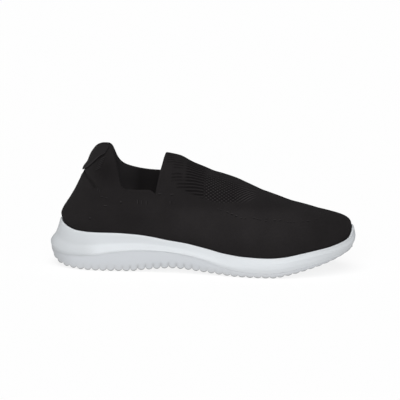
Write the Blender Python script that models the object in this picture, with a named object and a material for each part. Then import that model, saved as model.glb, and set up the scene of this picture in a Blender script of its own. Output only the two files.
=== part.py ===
"""A slip-on sneaker for the right foot: knitted upper, foam midsole, toothed outsole, insole and heel tab.

Lengths in the tables are millimetres. A station is the distance along the shoe from the rearmost point
of the sole. X runs from heel to toe, Y from the outer side (negative) to the inner side, Z up.
The origin lies on the floor, at the middle of the sole's length and width.
"""
import math

import bmesh
import bpy
import numpy as np
from mathutils import Vector

MM = 0.001

# Driving sizes
SOLE_LENGTH = 295.0
BALL_HALF_WIDTH = 52.5
HEEL_HALF_WIDTH = 38.5
HEEL_ROUND = 55.0
HEEL_POWER = 2.0
TOE_ROUND = 80.0
TOE_POWER = 1.9
GAP = 0.4
UPPER_WALL = 2.6
RIM_WALL = 2.2
INSOLE_THICKNESS = 4.0
INSOLE_EDGE_ROUND = 1.2
TAB_THICKNESS = 1.1
TAB_LIFT = 0.45
TAB_TOP = 0.995
SIDE_BULGE = 2.0

# Teeth of the tread. The notch share is the most of the outsole's thickness that a notch may take.
TOOTH_PITCH = 7.3
NOTCH_SHARE = 0.45
TOOTH_CORNER_RISE = 2.6
CHANNEL_HALF = 5.0
CHANNEL_FLOOR_HALF = 3.4
CHANNEL_DEPTH = 2.0
OUTSOLE_ENDS = (1.6, SOLE_LENGTH - 3.4)

# Middle lines on which the flat layers of the sole and the insole close
SOLE_SPINE = (30.0, SOLE_LENGTH - 42.0)
INSOLE_SPINE = (34.0, SOLE_LENGTH - 46.0)

# Shares of the way round: where the instep closes, and how far the lean of the heel reaches
CREST_START = 0.445
HEEL_LEAN_REACH = 0.2

# Plan of the sole, one row for each section: half the width, and how far its middle lies to the inner side
PLAN_COLUMNS = ("station", "half_width", "middle")
PLAN_ROWS = (
    (0, HEEL_HALF_WIDTH, 0.0),
    (55, HEEL_HALF_WIDTH, -0.2),
    (90, 36.6, -0.8),
    (118, 35.8, -2.3),
    (148, 38.6, -3.6),
    (178, 45.8, -3.2),
    (200, 51.0, -1.5),
    (213, BALL_HALF_WIDTH, 0.0),
    (228, BALL_HALF_WIDTH, 0.8),
    (250, 52.2, 3.0),
    (275, 51.6, 4.0),
    (295, 51.0, 3.6),
)

# Side of the sole: top of the rim, footbed, and the line between midsole and outsole
HEIGHT_COLUMNS = ("station", "rim", "bed", "line")
HEIGHT_ROWS = (
    (0, 45.0, 31.5, 19.2),
    (5, 43.4, 30.9, 15.4),
    (10, 41.2, 30.3, 14.0),
    (16, 39.2, 29.6, 13.4),
    (27, 37.0, 28.6, 13.3),
    (43, 36.4, 27.9, 14.6),
    (64, 36.5, 27.3, 18.2),
    (85, 35.4, 26.2, 20.3),
    (100, 33.6, 25.0, 20.6),
    (115, 30.9, 23.2, 19.9),
    (135, 28.2, 20.6, 17.4),
    (152, 24.8, 17.2, 13.6),
    (168, 21.4, 13.9, 8.9),
    (188, 19.3, 11.6, 5.4),
    (212, 18.7, 11.2, 4.7),
    (228, 19.9, 12.4, 6.6),
    (242, 22.2, 14.7, 9.2),
    (256, 24.7, 17.3, 12.0),
    (271, 27.2, 20.2, 15.8),
    (282, 30.0, 22.8, 19.4),
    (290, 32.6, 25.2, 23.2),
    (295, 35.0, 27.0, 26.4),
)

# Wall of the midsole: how far in from the plan it stands at the line, the shoulder, the waist and the rim
WALL_COLUMNS = ("station", "line_in", "shoulder_in", "shoulder_rise", "waist_in", "waist_rise", "rim_in")
WALL_ROWS = (
    (0, 0.7, 0.0, 0.12, 5.4, 0.50, 9.3),
    (8, 0.9, 0.0, 0.12, 5.2, 0.50, 7.0),
    (24, 0.8, 0.0, 0.12, 5.2, 0.52, 5.4),
    (60, 0.5, 0.0, 0.08, 5.0, 0.52, 4.6),
    (115, 0.5, 0.0, 0.10, 3.9, 0.55, 4.0),
    (160, 0.6, 0.0, 0.18, 1.7, 0.62, 2.9),
    (210, 1.0, 0.0, 0.36, 0.5, 0.72, 2.4),
    (260, 1.8, 0.3, 0.40, 0.2, 0.72, 2.4),
    (288, 2.4, 0.6, 0.28, 0.0, 0.60, 2.0),
    (295, 2.2, 0.6, 0.22, 0.0, 0.48, 1.5),
)

# Rise of the rim round the toe. Around is the share of the half outline from the toe's foremost point,
# negative on the outer side.
GUARD_COLUMNS = ("around", "lift")
GUARD_ROWS = (
    (-0.070, 0.0),
    (-0.045, 0.6),
    (-0.020, 4.0),
    (0.000, 7.4),
    (0.030, 9.0),
    (0.060, 8.0),
    (0.100, 4.0),
    (0.150, 0.0),
)

# Lip of the midsole's rim, from its outer face over the top to its inner face
LIP_COLUMNS = ("inset", "drop")
LIP_ROWS = ((0.0, 1.2), (0.7, 0.1), (1.5, 0.0), (RIM_WALL, 0.9))

# Tread seen from the side, along the tips of the teeth, with the depth of the notches between them
TREAD_COLUMNS = ("station", "height", "tread_in", "notch")
TREAD_ROWS = (
    (1.2, 16.8, 1.0, 0.8),
    (2.6, 12.6, 1.5, 1.1),
    (5.3, 8.4, 2.0, 1.5),
    (9.3, 4.7, 2.6, 2.0),
    (14, 2.7, 3.0, 2.4),
    (20, 1.3, 3.2, 2.7),
    (28, 0.5, 3.2, 2.9),
    (38, 0.0, 3.2, 3.0),
    (80, 0.0, 3.2, 3.0),
    (91, 1.3, 3.2, 3.0),
    (105, 2.8, 3.2, 3.0),
    (121, 4.1, 3.2, 3.0),
    (134, 3.6, 3.2, 2.9),
    (152, 2.0, 3.2, 2.7),
    (170, 0.7, 3.0, 2.4),
    (185, 0.0, 3.0, 2.2),
    (216, 0.0, 3.0, 2.0),
    (230, 2.3, 3.4, 1.9),
    (250, 7.2, 4.0, 1.7),
    (274, 14.7, 4.4, 1.4),
    (284, 18.9, 4.0, 1.1),
    (290.6, 22.0, 3.0, 0.8),
    (292.4, 23.2, 2.6, 0.6),
)

# One tooth and the notch ahead of it: share of the pitch, and share of the notch's depth
TOOTH_COLUMNS = ("share", "depth")
TOOTH_ROWS = ((0.00, 0.0), (0.56, 0.0), (0.72, 1.0), (0.84, 1.0))

# Top line of the upper, on the outer and the inner side. The share is how far round the feather edge the
# wall starts, 0 at the heel and 1 at the toe. Aside is the distance from the crest, and turn is how much of
# a quarter turn an open wall makes on its way up. Where aside is 0 the two sides close to an arch.
TOP_COLUMNS = ("share", "station_out", "height_out", "station_in", "height_in", "aside", "turn")
TOP_ROWS = (
    (0.000, 44.5, 115.0, 44.5, 115.0, 0.0, 0.20),
    (0.050, 47.5, 117.0, 46.5, 116.0, 8.6, 0.20),
    (0.090, 51.5, 118.6, 49.5, 116.4, 15.0, 0.20),
    (0.125, 56.2, 119.8, 53.5, 115.6, 20.4, 0.20),
    (0.145, 59.4, 118.0, 56.0, 113.2, 23.2, 0.20),
    (0.165, 61.6, 113.0, 58.0, 108.6, 25.4, 0.20),
    (0.190, 64.6, 104.2, 60.8, 101.6, 28.0, 0.22),
    (0.215, 67.3, 94.8, 64.2, 96.8, 30.0, 0.24),
    (0.240, 70.0, 83.0, 69.0, 93.4, 31.4, 0.26),
    (0.262, 74.0, 77.6, 76.0, 91.0, 32.2, 0.28),
    (0.300, 85.0, 77.2, 86.0, 88.8, 33.0, 0.30),
    (0.342, 97.5, 77.4, 97.0, 87.6, 33.4, 0.32),
    (0.364, 104.4, 73.6, 104.0, 87.4, 33.0, 0.34),
    (0.384, 106.7, 82.6, 106.6, 91.0, 31.4, 0.42),
    (0.400, 108.4, 92.2, 108.2, 95.8, 27.2, 0.56),
    (0.415, 109.9, 100.8, 109.8, 102.0, 19.8, 0.72),
    (0.430, 111.0, 107.6, 111.0, 107.8, 10.6, 0.87),
    (0.445, 111.6, 110.4, 111.6, 110.4, 0.0, 1.00),
    (0.490, 123.0, 108.4, 123.0, 108.4, 0.0, 1.00),
    (0.540, 138.0, 101.2, 138.0, 101.2, 0.0, 1.00),
    (0.600, 157.0, 94.0, 157.0, 94.0, 0.0, 1.00),
    (0.660, 176.0, 87.4, 176.0, 87.4, 0.0, 1.00),
    (0.720, 195.0, 79.4, 195.0, 79.4, 0.0, 1.00),
    (0.780, 213.0, 72.2, 213.0, 72.2, 0.0, 1.00),
    (0.840, 230.0, 66.4, 230.0, 66.4, 0.0, 1.00),
    (0.900, 245.0, 62.4, 245.0, 62.4, 0.0, 1.00),
    (0.950, 256.0, 59.4, 256.0, 59.4, 0.0, 1.00),
    (1.000, 264.0, 57.0, 264.0, 57.0, 0.0, 1.00),
)

# The crest of the arch wanders to the inner side on its way to the toe
CREST_COLUMNS = ("station", "crest")
CREST_ROWS = ((40, 0.0), (111, 1.0), (160, 3.5), (215, 6.0), (262, 6.0), (295, 4.5))

# Back of the heel seen from the side, above the rim: share of the height, and share of the way forward
LEAN_COLUMNS = ("rise", "forward")
LEAN_ROWS = (
    (0.00, 0.0),
    (0.06, -0.05),
    (0.16, 0.03),
    (0.25, 0.166),
    (0.40, 0.355),
    (0.51, 0.475),
    (0.61, 0.575),
    (0.70, 0.622),
    (0.78, 0.740),
    (0.90, 0.850),
    (1.00, 1.0),
)

# Lower edge of the heel tab, as a share of the wall's height
TAB_COLUMNS = ("share", "lower_edge")
TAB_ROWS = ((0.00, 0.66), (0.04, 0.67), (0.077, 0.70), (0.113, 0.80), (0.145, 0.92))

# Fineness of the meshes
COLUMN_STEP = 0.024
UPPER_ROWS = 11
TAB_MESH_ROWS = 5
LAYER_STEPS = (1.0, 0.66, 0.33, 0.0)
FINE_OUTLINE_STEPS = 720
FINE_TREAD_STEPS = 1600
SHARP_ANGLE = 38.0
WELD_DISTANCE = 1e-6

# Materials: colour, roughness
FINISHES = {
    "outsole": ((0.60, 0.63, 0.66), 0.60),
    "midsole": ((0.72, 0.75, 0.78), 0.55),
    "insole": ((0.030, 0.030, 0.032), 0.95),
    "upper": ((0.012, 0.011, 0.012), 0.92),
    "heel_tab": ((0.020, 0.019, 0.020), 0.90),
}


def smooth_curve(columns, rows, name):
    """Return a smooth function of a table's first column through one of the others, with no overshoot."""
    column = columns.index(name)
    xs = np.array([row[0] for row in rows], float)
    ys = np.array([row[column] for row in rows], float)
    steps = np.diff(xs)
    slopes = np.diff(ys) / steps
    tangents = np.zeros(len(xs))
    tangents[0] = slopes[0]
    tangents[-1] = slopes[-1]
    for k in range(1, len(xs) - 1):
        if slopes[k - 1] * slopes[k] > 0:
            before = 2 * steps[k] + steps[k - 1]
            after = steps[k] + 2 * steps[k - 1]
            tangents[k] = (before + after) / (before / slopes[k - 1] + after / slopes[k])

    def curve(x):
        x = min(max(x, xs[0]), xs[-1])
        k = min(int(np.searchsorted(xs, x, side="right")) - 1, len(xs) - 2)
        t = (x - xs[k]) / steps[k]
        start = ys[k] * (1 + 2 * t) * (1 - t) ** 2 + tangents[k] * steps[k] * t * (1 - t) ** 2
        end = ys[k + 1] * t * t * (3 - 2 * t) - tangents[k + 1] * steps[k] * t * t * (1 - t)
        return float(start + end)

    return curve


def all_curves(columns, rows):
    """Return a dictionary with the smooth function of each named column."""
    return {name: smooth_curve(columns, rows, name) for name in columns[1:]}


PLAN = all_curves(PLAN_COLUMNS, PLAN_ROWS)
HEIGHT = all_curves(HEIGHT_COLUMNS, HEIGHT_ROWS)
WALL = all_curves(WALL_COLUMNS, WALL_ROWS)
GUARD = all_curves(GUARD_COLUMNS, GUARD_ROWS)
TREAD = all_curves(TREAD_COLUMNS, TREAD_ROWS)
TOP = all_curves(TOP_COLUMNS, TOP_ROWS)
CREST = all_curves(CREST_COLUMNS, CREST_ROWS)
LEAN = all_curves(LEAN_COLUMNS, LEAN_ROWS)
TAB = all_curves(TAB_COLUMNS, TAB_ROWS)


def place(station, aside, height):
    """Turn a station, a distance to the inner side and a height in millimetres into a world point."""
    return Vector(((station - SOLE_LENGTH / 2) * MM, aside * MM, height * MM))


def end_round(distance, reach, power):
    """Return the share of the full width at a distance from a rounded end."""
    share = min(max(1 - distance / reach, 0.0), 1.0)
    return (1 - share ** power) ** (1 / power)


def half_width(station, inset=0.0):
    """Return half the width of the plan, drawn in by an inset all round."""
    heel = end_round(station - inset, HEEL_ROUND - inset, HEEL_POWER)
    toe = end_round(SOLE_LENGTH - inset - station, TOE_ROUND - inset, TOE_POWER)
    return (PLAN["half_width"](station) - inset) * heel * toe


def half_outline(side):
    """Return the plan's outline from heel to toe on one side, with the share of its length at each point."""
    points = []
    for k in range(FINE_OUTLINE_STEPS + 1):
        station = SOLE_LENGTH * (1 - math.cos(math.pi * k / FINE_OUTLINE_STEPS)) / 2
        points.append((station, PLAN["middle"](station) + side * half_width(station)))
    points = np.array(points)
    lengths = np.concatenate(([0.0], np.cumsum(np.hypot(*np.diff(points, axis=0).T))))
    return points, lengths / lengths[-1]


OUTLINES = {side: half_outline(side) for side in (-1, 1)}


def outline_point(side, share):
    """Return the station, the aside and the inward direction at a share of the way round from the heel."""
    points, shares = OUTLINES[side]
    here = np.array([np.interp(share, shares, points[:, k]) for k in (0, 1)])
    if share <= 0.0:
        return here[0], here[1], (1.0, 0.0)
    if share >= 1.0:
        return here[0], here[1], (-1.0, 0.0)
    near = 0.004
    before = np.array([np.interp(share - near, shares, points[:, k]) for k in (0, 1)])
    after = np.array([np.interp(share + near, shares, points[:, k]) for k in (0, 1)])
    if share < near:
        before = np.array([after[0], 2 * points[0, 1] - after[1]])
    if share > 1 - near:
        after = np.array([before[0], 2 * points[-1, 1] - before[1]])
    run = (after - before) / np.hypot(*(after - before))
    return here[0], here[1], (side * run[1], -side * run[0])


def inset_point(side, share, inset):
    """Return the station and aside of the outline, moved in by an inset."""
    station, aside, inward = outline_point(side, share)
    return station + inward[0] * inset, aside + inward[1] * inset


def new_object(name, bm):
    """Make a named object with its own material from a mesh in the making."""
    mesh = bpy.data.meshes.new(name)
    bm.to_mesh(mesh)
    bm.free()
    mesh.shade_smooth()
    mesh.set_sharp_from_angle(angle=math.radians(SHARP_ANGLE))
    material = bpy.data.materials.new(name)
    material.use_nodes = True
    shader = material.node_tree.nodes["Principled BSDF"]
    colour, roughness = FINISHES[name]
    shader.inputs["Base Color"].default_value = (*colour, 1.0)
    shader.inputs["Roughness"].default_value = roughness
    shader.inputs["Metallic"].default_value = 0.0
    mesh.materials.append(material)
    thing = bpy.data.objects.new(name, mesh)
    bpy.context.scene.collection.objects.link(thing)
    return thing


def bent_grid(columns, rows, where):
    """Make a grid and lay each of its corners where the function of column and row says, then weld it."""
    bm = bmesh.new()
    bmesh.ops.create_grid(bm, x_segments=columns, y_segments=rows, size=1.0)
    for corner in bm.verts:
        column = round((corner.co.x + 1) / 2 * columns)
        row = round((corner.co.y + 1) / 2 * rows)
        corner.co = where(column, row)
    bmesh.ops.remove_doubles(bm, verts=bm.verts, dist=WELD_DISTANCE)
    return bm


def face_outward(bm):
    """Turn the faces of a body, closed or open, away from its middle."""
    bmesh.ops.recalc_face_normals(bm, faces=bm.faces)
    middle = sum((corner.co for corner in bm.verts), Vector()) / len(bm.verts)
    lean = sum((f.calc_center_median() - middle).dot(f.normal) * f.calc_area() for f in bm.faces)
    if lean < 0:
        bmesh.ops.reverse_faces(bm, faces=bm.faces)


def column_shares():
    """Return the shares of the columns round the shoe, at each row of the top line and evenly between."""
    shares = []
    for row, following in zip(TOP_ROWS, TOP_ROWS[1:]):
        gap = following[0] - row[0]
        parts = max(1, round(gap / COLUMN_STEP))
        shares += [row[0] + gap * k / parts for k in range(parts)]
    return shares + [1.0]


def ring_shares(half):
    """Return the side and share of each column, from the toe by the outer side to the heel and back."""
    return [(-1, share) for share in reversed(half)] + [(1, share) for share in half[1:]]


def spine_point(share, start, end):
    """Return the station and aside on the middle line of a sole layer for a column's share."""
    station = start + (end - start) * share
    return station, PLAN["middle"](station)


def layer_point(side, share, inset, inner, height, spine):
    """Return a point of a flat layer: inner is 0 on its edge and 1 on its middle line."""
    edge = inset_point(side, share, inset)
    middle = spine_point(share, *spine)
    station = edge[0] + (middle[0] - edge[0]) * inner
    aside = edge[1] + (middle[1] - edge[1]) * inner
    return place(station, aside, height(station))


def rim_height(side, share):
    """Return the height of the midsole's rim at a share of the way round."""
    return HEIGHT["rim"](outline_point(side, share)[0]) + GUARD["lift"](side * (1 - share))


def feather_inset(station):
    """Return how far the upper's outer face stands in from the sole's plan."""
    return WALL["rim_in"](station) + RIM_WALL + GAP


def midsole_rows():
    """Return the midsole's profile, from the middle below to the middle of the bed.

    Each row is a function of the side and the share of the way round.
    """
    def underside(station):
        return HEIGHT["line"](station) + GAP / 2

    def below(inner):
        def row(side, share):
            inset = WALL["line_in"](outline_point(side, share)[0])
            return layer_point(side, share, inset, inner, underside, SOLE_SPINE)
        return row

    def wall(inset_name, rise_name):
        def row(side, share):
            station = outline_point(side, share)[0]
            rim = rim_height(side, share)
            line = HEIGHT["line"](station)
            at = inset_point(side, share, WALL[inset_name](station))
            return place(*at, line + (rim - line) * WALL[rise_name](station))
        return row

    def rim(inset_more, drop):
        def row(side, share):
            station = outline_point(side, share)[0]
            at = inset_point(side, share, WALL["rim_in"](station) + inset_more)
            return place(*at, rim_height(side, share) - drop)
        return row

    def bed(inner):
        def row(side, share):
            inset = WALL["rim_in"](outline_point(side, share)[0]) + RIM_WALL
            return layer_point(side, share, inset, inner, HEIGHT["bed"], SOLE_SPINE)
        return row

    rows = [below(inner) for inner in LAYER_STEPS]
    rows += [wall("shoulder_in", "shoulder_rise"), wall("waist_in", "waist_rise")]
    rows += [rim(inset, drop) for inset, drop in LIP_ROWS]
    rows += [bed(inner) for inner in reversed(LAYER_STEPS)]
    return rows


def make_midsole():
    """Foam cup: its rim holds the upper, its bed carries the insole, and its wall is waisted at the heel."""
    profile = midsole_rows()
    ring = ring_shares(column_shares())
    bm = bent_grid(len(ring) - 1, len(profile) - 1, lambda column, row: profile[row](*ring[column]))
    face_outward(bm)
    return new_object("midsole", bm)


def tread_stations():
    """Return the side view of the tread, four corners for each tooth.

    Each corner has its station on the line of the tips, and the station and height where it really lies.
    """
    start = TREAD_ROWS[0][0]
    end = TREAD_ROWS[-1][0]
    fine = np.linspace(start, end, FINE_TREAD_STEPS)
    line = np.array([(s, TREAD["height"](s)) for s in fine])
    lengths = np.concatenate(([0.0], np.cumsum(np.hypot(*np.diff(line, axis=0).T))))
    teeth = round(lengths[-1] / TOOTH_PITCH)
    pitch = lengths[-1] / teeth
    corners = [((tooth + share) * pitch, depth) for tooth in range(teeth) for share, depth in TOOTH_ROWS]
    corners.append((lengths[-1], 0.0))
    near = 0.5
    stations = []
    for along, depth in corners:
        at = np.array([np.interp(along, lengths, line[:, k]) for k in (0, 1)])
        ahead = np.array([np.interp(along + near, lengths, line[:, k]) for k in (0, 1)])
        behind = np.array([np.interp(along - near, lengths, line[:, k]) for k in (0, 1)])
        run = (ahead - behind) / np.hypot(*(ahead - behind))
        room = HEIGHT["line"](at[0]) - at[1]
        notch = depth * min(TREAD["notch"](at[0]), NOTCH_SHARE * room)
        stations.append((at[0], at[0] - run[1] * notch, at[1] + run[0] * notch))
    return stations


def make_outsole():
    """Toothed tread: bars run across the sole, a channel runs along its middle, and the wall is set in."""
    step_in = 0.3
    wall_step_in = 0.5
    wall_low_share = 0.35
    widest_channel = 0.4
    deepest_channel = 0.35

    def section(station, tip_station, tip_height):
        top_station = min(max(station, OUTSOLE_ENDS[0]), OUTSOLE_ENDS[1])
        top_height = HEIGHT["line"](top_station) - GAP / 2
        line_in = WALL["line_in"](top_station)
        top_half = half_width(top_station, line_in + step_in)
        low_half = half_width(tip_station, TREAD["tread_in"](station))
        wall_half = half_width(top_station, line_in + wall_step_in)
        wall_half += (low_half - wall_half) * wall_low_share
        wall_height = min(tip_height + TOOTH_CORNER_RISE, 0.5 * (tip_height + top_height))
        channel = min(CHANNEL_HALF, widest_channel * low_half)
        floor = channel * CHANNEL_FLOOR_HALF / CHANNEL_HALF
        deep = tip_height + min(CHANNEL_DEPTH, deepest_channel * (top_height - tip_height))
        middle = PLAN["middle"](station)
        half_ring = [
            (top_half, top_height, top_station),
            (wall_half, wall_height, 0.5 * (top_station + tip_station)),
            (low_half, tip_height, tip_station),
            (channel, tip_height, tip_station),
            (floor, deep, tip_station),
        ]
        ring = [(s, middle - half, z) for half, z, s in half_ring]
        ring += [(s, middle + half, z) for half, z, s in reversed(half_ring)]
        ring.append(ring[0])
        return ring

    sections = [section(*corner) for corner in tread_stations()]
    bm = bent_grid(len(sections) - 1, len(sections[0]) - 1, lambda column, row: place(*sections[column][row]))
    ends = [edge for edge in bm.edges if edge.is_boundary]
    bmesh.ops.holes_fill(bm, edges=ends, sides=0)
    face_outward(bm)
    return new_object("outsole", bm)


def make_insole():
    """Loose liner that lies on the bed, with a rounded upper edge."""
    def flat(inner, rise, inset_more):
        def height(station):
            return HEIGHT["bed"](station) + GAP + rise

        def row(side, share):
            inset = feather_inset(outline_point(side, share)[0]) + UPPER_WALL + GAP + inset_more
            return layer_point(side, share, inset, inner, height, INSOLE_SPINE)
        return row

    top = INSOLE_THICKNESS
    inner_steps = (0.0, 0.5, 1.0)
    profile = [flat(inner, 0.0, 0.0) for inner in reversed(inner_steps)]
    profile.append(flat(0.0, top - INSOLE_EDGE_ROUND, 0.0))
    profile += [flat(inner, top, INSOLE_EDGE_ROUND) for inner in inner_steps]
    ring = ring_shares(column_shares()[::2])
    bm = bent_grid(len(ring) - 1, len(profile) - 1, lambda column, row: profile[row](*ring[column]))
    face_outward(bm)
    return new_object("insole", bm)


def arch_shares(turn, rise):
    """Return how far in and how far up a wall has come at a share of its way, for its share of a turn."""
    whole = turn * math.pi / 2
    here = rise * whole
    inward = (1 - math.cos(here)) / (1 - math.cos(whole))
    upward = math.sin(here) / math.sin(whole)
    return inward, upward


def closing_turn(share, foot_station, height):
    """Return the turn with which a wall meets the crest's own slope, so that the arch closes smoothly."""
    near = 0.01
    steepest = 0.35
    ahead = min(share + near, 1.0)
    behind = max(share - near, CREST_START)
    fall = TOP["height_out"](behind) - TOP["height_out"](ahead)
    slope = fall / (TOP["station_out"](ahead) - TOP["station_out"](behind))
    steepness = min(max(slope * (foot_station - TOP["station_out"](share)) / height, 0.0), steepest)
    return math.acos(steepness / (1 - steepness)) / (math.pi / 2)


def upper_point(side, share, rise):
    """Return a point of the upper's outer face.

    The share is that of the way round. The rise is -1 on the footbed, 0 at the sole's rim and 1 at the top.
    """
    outline_station, _, inward_way = outline_point(side, share)
    foot = inset_point(side, share, feather_inset(outline_station))
    bed_height = HEIGHT["bed"](foot[0]) + GAP
    start_height = rim_height(side, share) + GAP
    if rise < 0:
        return place(*foot, start_height + (start_height - bed_height) * rise)
    edge = "out" if side < 0 else "in"
    top_station = TOP["station_" + edge](share)
    top_height = TOP["height_" + edge](share)
    top_aside = CREST["crest"](top_station) + side * TOP["aside"](share)
    turn = TOP["turn"](share)
    if share >= CREST_START:
        turn = closing_turn(share, foot[0], top_height - start_height)
    inward, upward = arch_shares(turn, rise)
    heel = max(0.0, 1 - share / HEEL_LEAN_REACH)
    heel = heel * heel * (3 - 2 * heel)
    forward = heel * LEAN["forward"](upward) + (1 - heel) * inward
    bulge = SIDE_BULGE * math.sin(math.pi * rise) ** 2 * (1 - heel)
    station = foot[0] + (top_station - foot[0]) * forward - inward_way[0] * bulge
    aside = foot[1] + (top_aside - foot[1]) * inward - inward_way[1] * bulge
    return place(station, aside, start_height + (top_height - start_height) * upward)


def make_upper():
    """One knitted shell, open at the collar and underneath, closed over the instep and the toes."""
    ring = ring_shares(column_shares())
    rises = [-1.0] + [row / UPPER_ROWS for row in range(UPPER_ROWS + 1)]
    bm = bent_grid(len(ring) - 1, len(rises) - 1, lambda column, row: upper_point(*ring[column], rises[row]))
    face_outward(bm)
    upper = new_object("upper", bm)
    wall = upper.modifiers.new("knit thickness", "SOLIDIFY")
    wall.thickness = UPPER_WALL * MM
    wall.offset = -1.0
    wall.use_even_offset = True
    return upper


def upper_normal(side, share, rise):
    """Return the outward direction of the upper's outer face, for a place behind the middle of the shoe."""
    step = 0.004
    behind = upper_point(side, share - step, rise) if share > step else upper_point(-side, step - share, rise)
    along = upper_point(side, share + step, rise) - behind
    up = upper_point(side, share, min(rise + step, 1.0)) - upper_point(side, share, rise - step)
    outward = along.cross(up).normalized()
    return -outward if outward.x > 0 else outward


def make_heel_tab():
    """Band sewn over the back of the collar, deepest at the middle of the heel and running out forward."""
    reach = TAB_ROWS[-1][0]
    ring = ring_shares([share for share in column_shares() if share <= reach])

    def where(column, row):
        side, share = ring[column]
        low = TAB["lower_edge"](share)
        rise = low + (TAB_TOP - low) * row / TAB_MESH_ROWS
        return upper_point(side, share, rise) + upper_normal(side, share, rise) * TAB_LIFT * MM

    bm = bent_grid(len(ring) - 1, TAB_MESH_ROWS, where)
    face_outward(bm)
    if sum(f.normal.x for f in bm.faces) > 0:
        bmesh.ops.reverse_faces(bm, faces=bm.faces)
    tab = new_object("heel_tab", bm)
    wall = tab.modifiers.new("band thickness", "SOLIDIFY")
    wall.thickness = TAB_THICKNESS * MM
    wall.offset = 1.0
    wall.use_even_offset = True
    return tab


def clear_scene():
    """Remove what the scene holds."""
    for thing in list(bpy.data.objects):
        bpy.data.objects.remove(thing, do_unlink=True)


def main():
    """Build the shoe."""
    clear_scene()
    make_outsole()
    make_midsole()
    make_insole()
    make_upper()
    make_heel_tab()


main()
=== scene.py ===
# %% [markdown]
# # A slip-on sneaker, right foot
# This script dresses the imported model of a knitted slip-on shoe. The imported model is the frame: it holds
# the size and the place of every piece, and nothing in it is moved. Each cell below makes one piece or
# one finish, says why it is made that way, and prints what came out.

# %% Load the frame
import math
from functools import lru_cache

import bmesh
import bpy
import numpy as np
from mathutils import Matrix, Vector


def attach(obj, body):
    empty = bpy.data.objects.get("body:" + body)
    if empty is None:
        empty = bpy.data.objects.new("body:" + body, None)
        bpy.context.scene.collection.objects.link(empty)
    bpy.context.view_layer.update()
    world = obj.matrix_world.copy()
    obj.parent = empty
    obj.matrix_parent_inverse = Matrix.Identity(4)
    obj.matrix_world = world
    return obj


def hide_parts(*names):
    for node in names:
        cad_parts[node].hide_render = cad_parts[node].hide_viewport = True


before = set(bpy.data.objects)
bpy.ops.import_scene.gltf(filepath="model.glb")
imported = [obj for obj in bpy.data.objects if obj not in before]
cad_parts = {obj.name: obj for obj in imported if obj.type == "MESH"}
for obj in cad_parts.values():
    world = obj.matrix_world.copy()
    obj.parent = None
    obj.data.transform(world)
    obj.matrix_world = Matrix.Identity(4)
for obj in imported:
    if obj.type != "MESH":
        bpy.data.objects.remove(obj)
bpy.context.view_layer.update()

print("nodes:", ", ".join(sorted(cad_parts)))

# %% [markdown]
# ## The shoe's own sizes
# A shoe is drawn from a last, and a last is known by a few sections: the plan, the side heights and the
# top line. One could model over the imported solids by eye, but then each piece would drift a little from
# the next. Here every piece is laid on the same curves as the solids, so they all meet. Lengths are in
# millimetres, and a station is the distance along the shoe from the rearmost point of the sole.

# %% Driving sizes
MM = 0.001
SOLE_LENGTH = 295.0
BALL_HALF_WIDTH = 52.5
HEEL_HALF_WIDTH = 38.5
HEEL_ROUND = 55.0
HEEL_POWER = 2.0
TOE_ROUND = 80.0
TOE_POWER = 1.9
GAP = 0.4
UPPER_WALL = 2.6
RIM_WALL = 2.2
INSOLE_THICKNESS = 4.0
TOOTH_PITCH = 7.3
SIDE_BULGE = 2.0
HEEL_LEAN_REACH = 0.2
CREST_START = 0.445
OUTER = -1
INNER = 1

# %% [markdown]
# ## The tables
# A shoemaker keeps a last's measures as a short sheet: one line for each section, with a name over each
# column. The same is done here. The plan, the heights and the wall's profile make the sole, and the top
# line, the ridge and the heel's lean make the upper. A drawn outline would need hundreds of points and
# could not be read or changed.

# %% Tables of the sole
PLAN_COLUMNS = ("station", "half_width", "middle")
PLAN_ROWS = (
    (0, HEEL_HALF_WIDTH, 0.0),
    (55, HEEL_HALF_WIDTH, -0.2),
    (90, 36.6, -0.8),
    (118, 35.8, -2.3),
    (148, 38.6, -3.6),
    (178, 45.8, -3.2),
    (200, 51.0, -1.5),
    (213, BALL_HALF_WIDTH, 0.0),
    (228, BALL_HALF_WIDTH, 0.8),
    (250, 52.2, 3.0),
    (275, 51.6, 4.0),
    (295, 51.0, 3.6),
)
HEIGHT_COLUMNS = ("station", "rim", "bed", "line")
HEIGHT_ROWS = (
    (0, 45.0, 31.5, 19.2),
    (5, 43.4, 30.9, 15.4),
    (10, 41.2, 30.3, 14.0),
    (16, 39.2, 29.6, 13.4),
    (27, 37.0, 28.6, 13.3),
    (43, 36.4, 27.9, 14.6),
    (64, 36.5, 27.3, 18.2),
    (85, 35.4, 26.2, 20.3),
    (100, 33.6, 25.0, 20.6),
    (115, 30.9, 23.2, 19.9),
    (135, 28.2, 20.6, 17.4),
    (152, 24.8, 17.2, 13.6),
    (168, 21.4, 13.9, 8.9),
    (188, 19.3, 11.6, 5.4),
    (212, 18.7, 11.2, 4.7),
    (228, 19.9, 12.4, 6.6),
    (242, 22.2, 14.7, 9.2),
    (256, 24.7, 17.3, 12.0),
    (271, 27.2, 20.2, 15.8),
    (282, 30.0, 22.8, 19.4),
    (290, 32.6, 25.2, 23.2),
    (295, 35.0, 27.0, 26.4),
)
WALL_COLUMNS = ("station", "line_in", "shoulder_in", "shoulder_rise", "waist_in", "waist_rise", "rim_in")
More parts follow.
